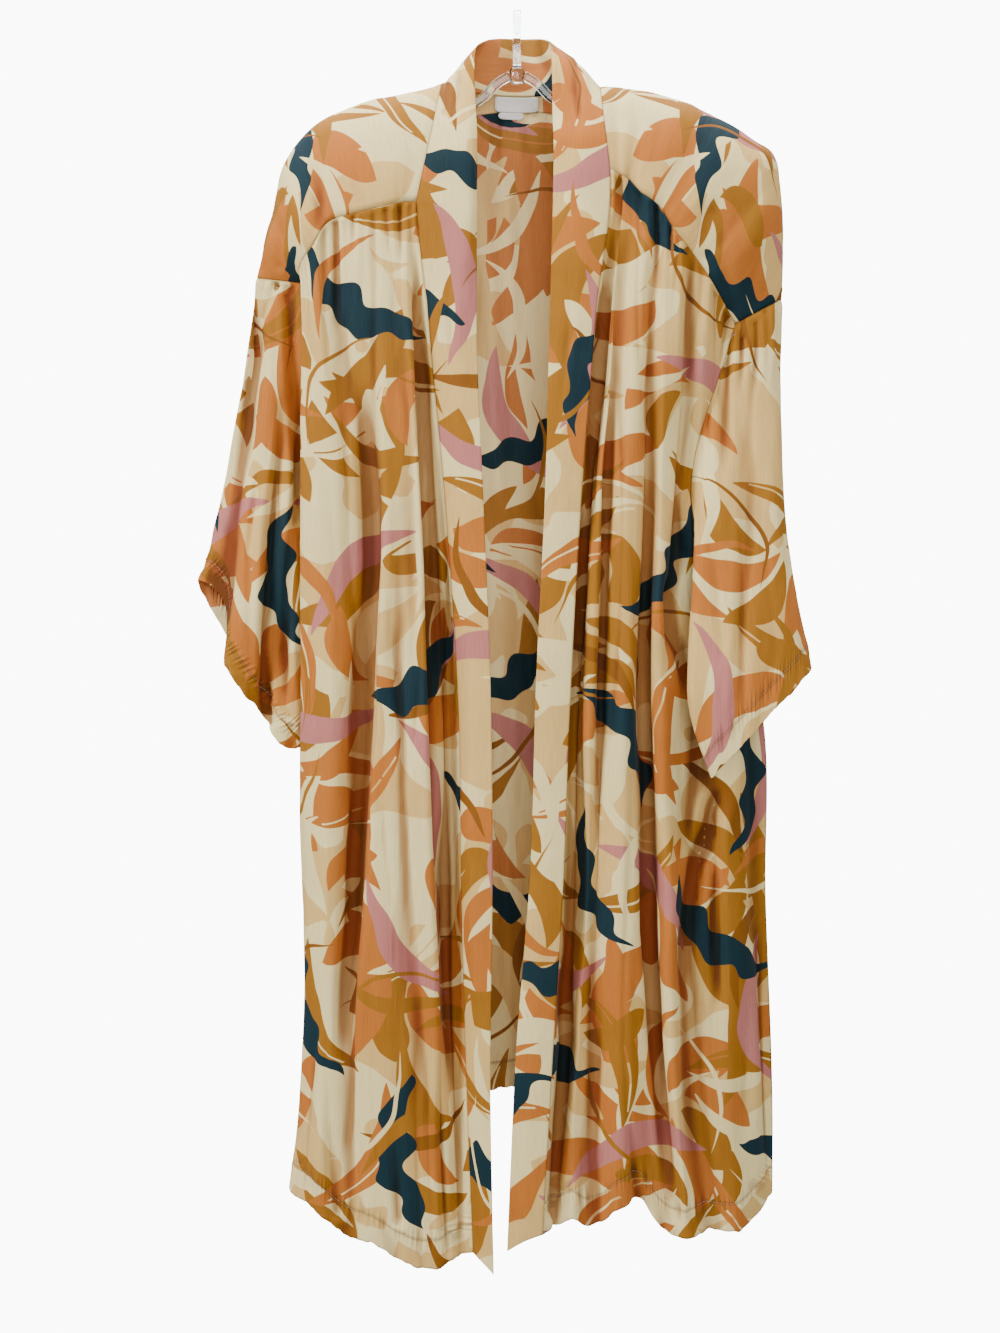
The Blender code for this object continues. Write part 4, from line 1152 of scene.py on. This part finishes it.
# How far the motifs wander from their outlines, and the patches of the ground: scale, then reach or edge
WANDER = (0.016, 18)
GROUND = (0.011, 0.52, 260.0)


def print_group():
    """Print of the cloth: overlapping fans of petals and single curved leaves on a cream ground."""
    group = bpy.data.node_groups.new("garden_print", "ShaderNodeTree")
    group.interface.new_socket("Place", in_out="INPUT", socket_type="NodeSocketVector")
    group.interface.new_socket("Colour", in_out="OUTPUT", socket_type="NodeSocketColor")
    n = Nodes(group)
    start = Value(n, group.nodes.new("NodeGroupInput").outputs[0])
    scale, reach = WANDER
    wander = n.out("TexNoise", {"Vector": start, "Scale": scale, "Detail": 1.0}, "Color")
    shift = n.vector("SUBTRACT", wander, (0.5, 0.5, 0.5))
    place = n.vector("ADD", start, n.vector("MULTIPLY", shift, (reach, reach, 0)))
    scale, middle, edge = GROUND
    patches = n.math("MULTIPLY_ADD", n.noise(place, scale, 1.5) - middle, edge, 0.5, clamp=True)
    colour = n.mix(patches, CREAM, SAND)
    for kind, numbers, colours in PRINT_LAYERS:
        mask, pick = kind(n, place, *numbers)
        colour = n.mix(mask, colour, n.picked(pick, colours))
    n.join(colour, group.nodes.new("NodeGroupOutput").inputs[0])
    return group


# Lengths of the weave, the stitches and the hem's pucker, in millimetres
WEAVE_ACROSS, WEAVE_DOWN = 0.62, 0.7
STITCH, STITCH_SHARE, THREAD_HALF = 3.1, 0.72, 0.45
PUCKER, PUCKER_WANDER, PUCKER_CHANGE = 5.2, 14.0, 0.11
# Ranges: value from, to, and what it becomes there. Tints: such a range and a shade on a screen
PUCKER_RANGE = (0.0, 11.0, 1.7, 0.0)
LEDGE_HALF, LEDGE_HEIGHT = 1.0, 0.35
CRINKLE_HEIGHT, WEAVE_HEIGHT, STITCH_HEIGHT = 0.5, 0.035, 0.4
SLUB_TINT = ((0.3, 0.7, 0.0, 0.16), (120, 80, 45))
CLOUD_TINT = ((0.3, 0.75, 0.0, 0.14), (196, 150, 96))
# Painted shade in the groove along each seam
SEAM_PAINTED_SHADE = ((0.2, 1.6, 0.4, 0.0), (112, 70, 34))
# Painted shade in the groove along the hem's line of stitches
STITCH_PAINTED_SHADE = ((0.4, 2.4, 0.4, 0.0), (130, 84, 44))
# Painted shade in the hollows of the folds, weaker on the inside
FOLD_SHADE_INSIDE = ((0.0, 1.0, 0.0, 0.4), (150, 102, 60))
FOLD_SHADE_OUTSIDE = ((0.0, 1.0, 0.0, 0.85), (150, 102, 60))
THREAD, THREAD_COVER = linear(214, 186, 140), 0.5
# Painted light on the inside of the cloth: its colour made brighter and a little less saturated, standing in
# for light that barely reaches it
INSIDE_PAINTED_LIGHT, INSIDE_SATURATION = 1.3, 0.95
CLOTH_ROUGHNESS = (0.2, 0.8, 0.66, 0.8)
CLOTH_BUMP = (0.55, 0.0006)


def cloth_material(name, printing, move, turn, hem_depth, inside):
    """Printed rayon: print, slub, stitched hem and a fine crinkle in the surface, with painted shade in the
    seam crease, in the groove of the stitching and in the hollows of the folds, and painted light brightening
    the inside.
    """
    material, n = new_material(name)
    flat = n.flat_cloth()
    colour = n.out("Group", {0: n.placed(flat, move, turn)}, node_tree=printing)
    slub = n.noise(flat, (0.9, 0.045, 0), 3.0)
    cloud = n.noise(flat, (0.02, 0.012, 0), 2.0)
    colour = n.tint(slub, colour, *SLUB_TINT)
    colour = n.tint(cloud, colour, *CLOUD_TINT)
    # Painted light: the inside's colour is brightened
    if inside:
        colour = n.out("HueSaturation", {"Saturation": INSIDE_SATURATION, "Value": INSIDE_PAINTED_LIGHT,
                                         "Color": colour})
    seam, edge, run, fold_shade = (n.fact(fact) for fact in ("seam", "edge", "run", "fold_shade"))
    # Painted shade: the colour darkens in the hollows of the folds; on the inside these lie where the outside
    # stands proud
    fold_shade = n.math("MULTIPLY", fold_shade, -1.0 if inside else 1.0, clamp=True)
    colour = n.tint(fold_shade, colour, *(FOLD_SHADE_INSIDE if inside else FOLD_SHADE_OUTSIDE))
    # Painted shade in the groove along each seam
    colour = n.tint(seam, colour, *SEAM_PAINTED_SHADE)
    x, y, _ = n.parts(flat)
    weave = n.wave(x, WEAVE_ACROSS) * n.wave(y, WEAVE_DOWN)
    height = n.noise(flat, (0.42, 0.1, 0), 4.0, 0.4) * CRINKLE_HEIGHT + weave * WEAVE_HEIGHT
    if hem_depth:
        line = abs(edge - hem_depth)
        stitch = (line < THREAD_HALF) * (n.math("FRACT", run * (1 / STITCH)) < STITCH_SHARE)
        colour = n.mix(stitch * THREAD_COVER, colour, THREAD)
        # Painted shade in the groove along the line of stitches
        colour = n.tint(line, colour, *STITCH_PAINTED_SHADE)
        ledge = n.ranged(edge, hem_depth - LEDGE_HALF, hem_depth + LEDGE_HALF, LEDGE_HEIGHT, 0.0)
        uneven = n.noise(n.together(run, hem_depth), PUCKER_CHANGE, 2.0) * PUCKER_WANDER
        pucker = n.wave(run, PUCKER, uneven) * n.ranged(line, *PUCKER_RANGE)
        height = height + stitch * STITCH_HEIGHT + ledge + pucker
    n.surface(height, *CLOTH_BUMP, {
        "Base Color": colour, "Roughness": n.ranged(slub, *CLOTH_ROUGHNESS), "Sheen Weight": 0.04,
        "Sheen Roughness": 0.45, "Specular IOR Level": 0.2})
    return material


PLASTIC_BUMP = (0.04, 0.0004)
PLASTIC_ROUGHNESS = (0.35, 0.75, 0.02, 0.08)
LABEL_BUMP = (0.4, 0.0003)
LABEL_ROUGHNESS = (0.2, 0.8, 0.42, 0.62)
# Label: length of a rib and its height, then of a stitch, its share, its distance from the end and half width
RIB, RIB_HEIGHT = 0.45, 0.3
LABEL_STITCH, LABEL_STITCH_SHARE, LABEL_STITCH_IN, LABEL_THREAD_HALF = 2.4, 0.62, 1.6, 0.3


def clear_plastic():
    """Clear moulded plastic with faint flow lines and handling marks."""
    material, n = new_material("clear_plastic")
    place = n.out("TexCoord", output="Object")
    flow = n.noise(place, (40, 140, 140), 2.0)
    marks = n.noise(place, (900, 900, 900), 4.0)
    n.surface(flow, *PLASTIC_BUMP, {
        "Base Color": n.mix(flow, linear(226, 232, 234), linear(246, 248, 248)),
        "Roughness": n.ranged(marks, *PLASTIC_ROUGHNESS), "IOR": 1.49, "Transmission Weight": 1.0})
    return material


def label_material():
    """White woven satin: fine ribs and a line of stitches at each end."""
    material, n = new_material("woven_label")
    flat = n.flat_cloth()
    y = n.parts(flat)[1]
    fibres = n.noise(flat, (0.8, 5.0, 0), 3.0)
    line = abs(n.fact("edge") - LABEL_STITCH_IN) < LABEL_THREAD_HALF
    stitch = line * (n.math("FRACT", y * (1 / LABEL_STITCH)) < LABEL_STITCH_SHARE)
    colour = n.mix(fibres, linear(226, 224, 216), linear(246, 245, 240))
    colour = n.mix(stitch * 0.6, colour, linear(198, 190, 172))
    n.surface(n.wave(y, RIB) * RIB_HEIGHT + stitch, *LABEL_BUMP, {
        "Base Color": colour, "Roughness": n.ranged(fibres, *LABEL_ROUGHNESS), "Sheen Weight": 0.1})
    return material


def swept(name, path, sections, broad, material):
    """Solid along a path from one closed section at each point, given across and along a fixed side."""
    work = bmesh.new()
    side = Vector(broad)
    rings = []
    for index, (point, section) in enumerate(zip(path, sections)):
        before, after = path[max(index - 1, 0)], path[min(index + 1, len(path) - 1)]
        other = side.cross((after - before).normalized()).normalized()
        rings.append([work.verts.new((point + other * a + side * b) * MM) for a, b in section])
    for one, two in zip(rings, rings[1:]):
        for k in range(len(one)):
            work.faces.new((one[k - 1], one[k], two[k], two[k - 1]))
    work.faces.new(rings[0][::-1])
    work.faces.new(rings[-1])
    bmesh.ops.recalc_face_normals(work, faces=work.faces)
    mesh = bpy.data.meshes.new(name)
    work.to_mesh(mesh)
    work.free()
    return smooth_item(name, mesh, material)


def rounded_section(across, depth, groove, count=32, corner=0.45, groove_share=0.22):
    """Rounded rectangle with a shallow groove down both broad sides."""
    section = []
    for step in range(count):
        angle = 2 * math.pi * (step + 0.5) / count
        c, s = math.cos(angle), math.sin(angle)
        a = math.copysign(abs(c) ** corner, c) * depth / 2
        b = math.copysign(abs(s) ** corner, s) * across / 2
        a -= math.copysign(groove * math.exp(-(b / (across * groove_share)) ** 2), c)
        section.append((a, b))
    return section


def arm_points(near_hub, shoulder, rows):
    """Middle line of one arm: the stretch at the neck, then the run below the shoulder line."""
    path = [Vector((x, 0, z)) for x, z in near_hub]
    ridge = [Vector((x, 0, z)) for x, z in shoulder]
    for row in range(*rows):
        slope = (ridge[row + 1] - ridge[row - 1]).normalized()
        below = Vector((slope.z, 0, -slope.x))
        if below.z > 0:
            below.negate()
        path.append(ridge[row] + below * ARM_DROP)
    shares = [step / ARM_STEPS for step in range(ARM_STEPS + 1)]
    return [true_place(point) for point in by_length(path, shares)]


def hook_points():
    """Hook seen edge on: stem up from the hub, round the back, over the top and down the front."""
    radius = HOOK_INSIDE + HOOK_WIRE
    points = [Vector((0, 0, HUB_TOP + HOOK_START)), Vector((0, 0, HUB_TOP + HOOK_FOOT))]
    for step in range(HOOK_STEPS + 1):
        angle = math.radians(blend(HOOK_STEM_ANGLE, HOOK_TIP_ANGLE, step / HOOK_STEPS))
        points.append(Vector((0, -radius * math.cos(angle), -HOOK_INSIDE + radius * math.sin(angle))))
    count = 4 * (len(points) - 1)
    return [along(points, step / 4) for step in range(count + 1)]


def hanger_pieces(plastic):
    """Flat rounded arms, a rounded hub between them, and the hook."""
    bar = rounded_section(*ARM_SECTION)
    for name, near, shoulder, rows in (("hanger_arm_left", LEFT_ARM, LEFT_SHOULDER, LEFT_ARM_ROWS),
                                       ("hanger_arm_right", RIGHT_ARM, RIGHT_SHOULDER, RIGHT_ARM_ROWS)):
        path = arm_points(near, shoulder, rows)
        ends = [blend(ARM_END, 1.0, smooth(len(path) - 1 - index, *ARM_TAPER)) for index in range(len(path))]
        sections = [[(a * end, b) for a, b in bar] for end in ends]
        attach(swept(name, path, sections, (0, 1, 0), plastic), "hanger")
    turns = [2 * math.pi * step / HUB_TURNS for step in range(HUB_TURNS)]
    sections = [[(HUB_ACROSS * radius * math.cos(turn), HUB_DEPTH * radius * math.sin(turn))
                 for turn in turns] for radius, _ in HUB_PROFILE]
    path = [Vector((0, 0, z)) for _, z in HUB_PROFILE]
    attach(swept("hanger_hub", path, sections, (0, 1, 0), plastic), "hanger")
    path = hook_points()
    full = rounded_section(*HOOK_SECTION)
    sections = []
    for index in range(len(path)):
        left = (len(path) - 1 - index) / HOOK_ROUND_STEPS
        end = math.sqrt(max(HOOK_TIP ** 2, 1 - max(0.0, 1 - left) ** 2))
        sections.append([(a * end, b * end) for a, b in full])
    attach(swept("hanger_hook_clear", path, sections, (1, 0, 0), plastic), "hanger_hook")


def neck_point(neckline, x):
    """Point of the back neckline at x."""
    column = 0
    while column < len(neckline) - 2 and neckline[column + 1].x < x:
        column += 1
    before, after = neckline[column], neckline[column + 1]
    return before.lerp(after, (x - before.x) / (after.x - before.x))


def label_piece(name, node, neckline, left, right, start, drop, material):
    """Woven label with softly rounded corners, hanging in front of the inside of the back neck."""
    columns, rows = LABEL_CELLS
    wide = right - left
    pairs, flats, edges, quads = [], [], [], []
    for row in range(rows + 1):
        for column in range(columns + 1):
            side, low = (column / columns - 0.5) * wide, row / rows * drop
            out = abs(side) - (wide / 2 - CORNER), max(low - (drop - CORNER), CORNER - low)
            if min(out) > 0:
                pull = 1 - max(out) / math.hypot(*out)
                side -= math.copysign(out[0] * pull, side)
                low -= math.copysign(out[1] * pull, low - drop / 2)
            top = neck_point(neckline, (left + right) / 2 + side)
            lift = LABEL_WAVE * math.sin(side / 4.5 + low / 6) * math.sin(math.pi * low / drop)
            spot = Vector((top.x, top.y - LABEL_SETBACK + lift, top.z - start - low))
            pairs.append([(spot + Vector((0, half, 0))) * MM for half in (-LABEL_HALF, LABEL_HALF)])
            flats.append((side * MM, -low * MM))
            edges.append(wide / 2 - abs(side))
            if row < rows and column < columns:
                a = row * (columns + 1) + column
                quads.append([a, a + columns + 1, a + columns + 2, a + 1])
    quads = [(ring, [flats[k] for k in ring]) for ring in quads]
    item = smooth_item(name, shell(name, pairs, quads, {"edge": edges}, 0), material)
    attach(item, node)
    return item


FRONT_OF_RING = 0.77
PAPER_BACK = 8.0
PAPER_HALF = 12.0
PAPER_GLOW = 10.0
ROOM_LIGHT = 0.42
# Lamps: name, place, what they aim at, power and size, in metres and watts
LAMPS = (
    ("key", (-2.3, -1.6, 0.7), (0, 0, -0.55), 84, 0.8),
    ("fill", (0.5, -3.2, 0.1), (0, 0, -0.6), 62, 2.0),
    ("wall", (0.0, 0.4, 1.9), (0, 1.6, -0.6), 170, 2.6),
)

# How each piece of cloth folds, in millimetres
BODY_LOOK = {"fold_width": 26.0, "fold_length": 190.0, "fold_depth": 4.2, "small_depth": 0.35,
             "gathered": True, "gather_depth": 1.8, "gather_run": 46.0, "crease_width": 21.0,
             "crease_length": 300.0, "crease_depth": 2.6, "hem_depth": HEM_DEPTH}
BACK_LOOK = dict(BODY_LOOK, fold_depth=3.4, gather_depth=1.3)
YOKE_LOOK = dict(BODY_LOOK, fold_width=34.0, fold_length=60.0, fold_depth=2.0, small_depth=0.3,
                 gathered=False, crease_width=40.0, crease_length=90.0, crease_depth=0.7, hem_depth=0.0)
SLEEVE_LOOK = dict(BODY_LOOK, fold_width=24.0, fold_length=110.0, fold_depth=3.2, small_depth=0.4,
                   crease_width=22.0, crease_length=160.0, crease_depth=1.8,
                   gather_depth=1.4, gather_run=36.0, hem_depth=CUFF_DEPTH)
BAND_LOOK = dict(BODY_LOOK, fold_width=60.0, fold_length=26.0, fold_depth=0.9, small_depth=0.3,
                 gathered=False, crease_width=60.0, crease_length=24.0, crease_depth=0.3, hem_depth=0.0)

# Each piece of cloth: its look and the seed of its folds, then its place and turn on the printed cloth
PIECES = {
    "front_left": (BODY_LOOK, 11, (40, 900, 0), 0.15),
    "front_right": (BODY_LOOK, 12, (1310, 450, 0), -0.2),
    "back_panel": (BACK_LOOK, 13, (2700, 1500, 0), 0.35),
    "yoke": (YOKE_LOOK, 14, (1520, 3300, 0), 0.4),
    "sleeve_left": (SLEEVE_LOOK, 15, (3700, 700, 0), 1.9),
    "sleeve_right": (SLEEVE_LOOK, 16, (4900, 2100, 0), 2.6),
    "front_band": (BAND_LOOK, 17, (7350, 1640, 0), 0.5),
}
SEED_STEP = 1.37


def cloth_grids():
    """Stretches of cloth of each piece, and the back neckline."""
    left_front = front_grid(LEFT_FOLDS, LEFT_UNDERARM)
    right_front = front_grid(RIGHT_FOLDS, RIGHT_UNDERARM)
    back = back_grid(left_front, right_front)
    left_count = len(left_front[0]) - 1
    middle_end = left_count + NECK_STEPS
    left_yoke = yoke_grid(left_front[0], LEFT_SHOULDER, back[0][:left_count + 1][::-1])
    right_yoke = yoke_grid(right_front[0], RIGHT_SHOULDER, back[0][middle_end:])
    neck = neck_grid([row[0] for row in left_yoke[YOKE_STEPS:]], [row[0] for row in right_yoke[YOKE_STEPS:]],
                     back[0][left_count:middle_end + 1])
    left_sleeve = sleeve_grid(*armhole_ring(left_yoke, left_front, back, 0), LEFT_SLEEVE)
    right_sleeve = sleeve_grid(*armhole_ring(right_yoke, right_front, back, -1), RIGHT_SLEEVE)
    half = NECK_STEPS // 2
    left_seam, places = seam_of_side(left_front, left_yoke, neck[0][1:half + 1])
    right_seam, _ = seam_of_side(right_front, right_yoke, neck[0][half:NECK_STEPS][::-1])
    band = band_side(LEFT_BAND, RIGHT_BAND, left_seam, places)
    band += band_side(RIGHT_BAND, LEFT_BAND, right_seam, places)[-2::-1]
    body = (("top", "first", "last"), ("bottom",))
    around = ("top", "bottom", "first", "last")
    tube = (("top",), ("bottom",), ("first", "last"), FRONT_OF_RING)
    return {
        "front_left": [Grid(left_front, False, *body)],
        "front_right": [Grid(right_front, True, *body)],
        "back_panel": [Grid(back, False, *body)],
        "yoke": [Grid(left_yoke, True, around, upright=False), Grid(right_yoke, False, around, upright=False),
                 Grid(neck, False, ("top", "bottom"), upright=False)],
        "sleeve_left": [Grid(left_sleeve, True, *tube)],
        "sleeve_right": [Grid(right_sleeve, False, *tube)],
        "front_band": [Grid(band, False, ("first",), ("last",), ("top", "bottom"), upright=False)],
    }, neck[0]


def dress():
    """Every piece of the coat and the hanger, in place of the part's nodes."""
    all_grids, neckline = cloth_grids()
    printing = print_group()
    for name, grids in all_grids.items():
        look, seed, move, turn = PIECES[name]
        look = dict(look, seed=seed * SEED_STEP)
        piece = cloth_piece(name + "_cloth", grids, look)
        # The inside's material is a copy of the outside's, brightened by painted light, with weaker painted
        # shade in its folds
        for side, inside in (("outside", False), ("inside", True)):
            material = cloth_material(f"{name}_{side}", printing, move, turn, look["hem_depth"], inside)
            piece.data.materials.append(material)
        attach(piece, name)
        name == "yoke"
    label = label_material()
    neckline = [true_place(point) for point in neckline]
    woven = label_piece("neck_label_woven", "neck_label", neckline, LABEL_LEFT, LABEL_RIGHT, LABEL_START,
                        LABEL_DROP, label)
    tab = label_piece("size_tab_woven", "size_tab", neckline, TAB_LEFT, TAB_RIGHT, TAB_START, TAB_DROP, label)
    hanger_pieces(clear_plastic())


def studio():
    """White paper far behind the coat, soft lights and the camera."""
    mesh = bpy.data.meshes.new("studio_paper")
    half = PAPER_HALF
    corners = ((-half, -half), (half, -half), (half, half), (-half, half))
    mesh.from_pydata([(x, PAPER_BACK, z) for x, z in corners], [], [(0, 1, 2, 3)])
    material = bpy.data.materials.new("white_paper")
    material.use_nodes = True
    shader = material.node_tree.nodes["Principled BSDF"]
    shader.inputs["Base Color"].default_value = (0.9, 0.9, 0.89, 1)
    shader.inputs["Emission Color"].default_value = (1.0, 1.0, 1.0, 1)
    shader.inputs["Emission Strength"].default_value = PAPER_GLOW
    paper = smooth_item("studio_paper", mesh, material)
    paper.visible_diffuse = False
    paper.visible_glossy = False

    for name, place, aim, power, size in LAMPS:
        light = bpy.data.lights.new(name, "AREA")
        light.energy, light.size = power, size
        lamp = new_item(name, light)
        lamp.location = place
        lamp.rotation_euler = (Vector(aim) - Vector(place)).to_track_quat("-Z", "Y").to_euler()
    world = bpy.data.worlds.new("soft_room")
    world.use_nodes = True
    background = world.node_tree.nodes["Background"]
    background.inputs[0].default_value = (1.0, 0.99, 0.97, 1)
    background.inputs[1].default_value = ROOM_LIGHT
    bpy.context.scene.world = world

    lens = bpy.data.cameras.new("view")
    lens.sensor_fit = "HORIZONTAL"
    lens.sensor_width = SENSOR
    lens.lens = SENSOR * VIEW_DISTANCE / FRAME_WIDTH
    camera = new_item("view", lens)
    camera.location = (EYE_SIDE * MM, -VIEW_DISTANCE * MM, EYE_LEVEL * MM)
    camera.rotation_euler = (math.pi / 2, 0, 0)
    bpy.context.scene.camera = camera


dress()
studio()
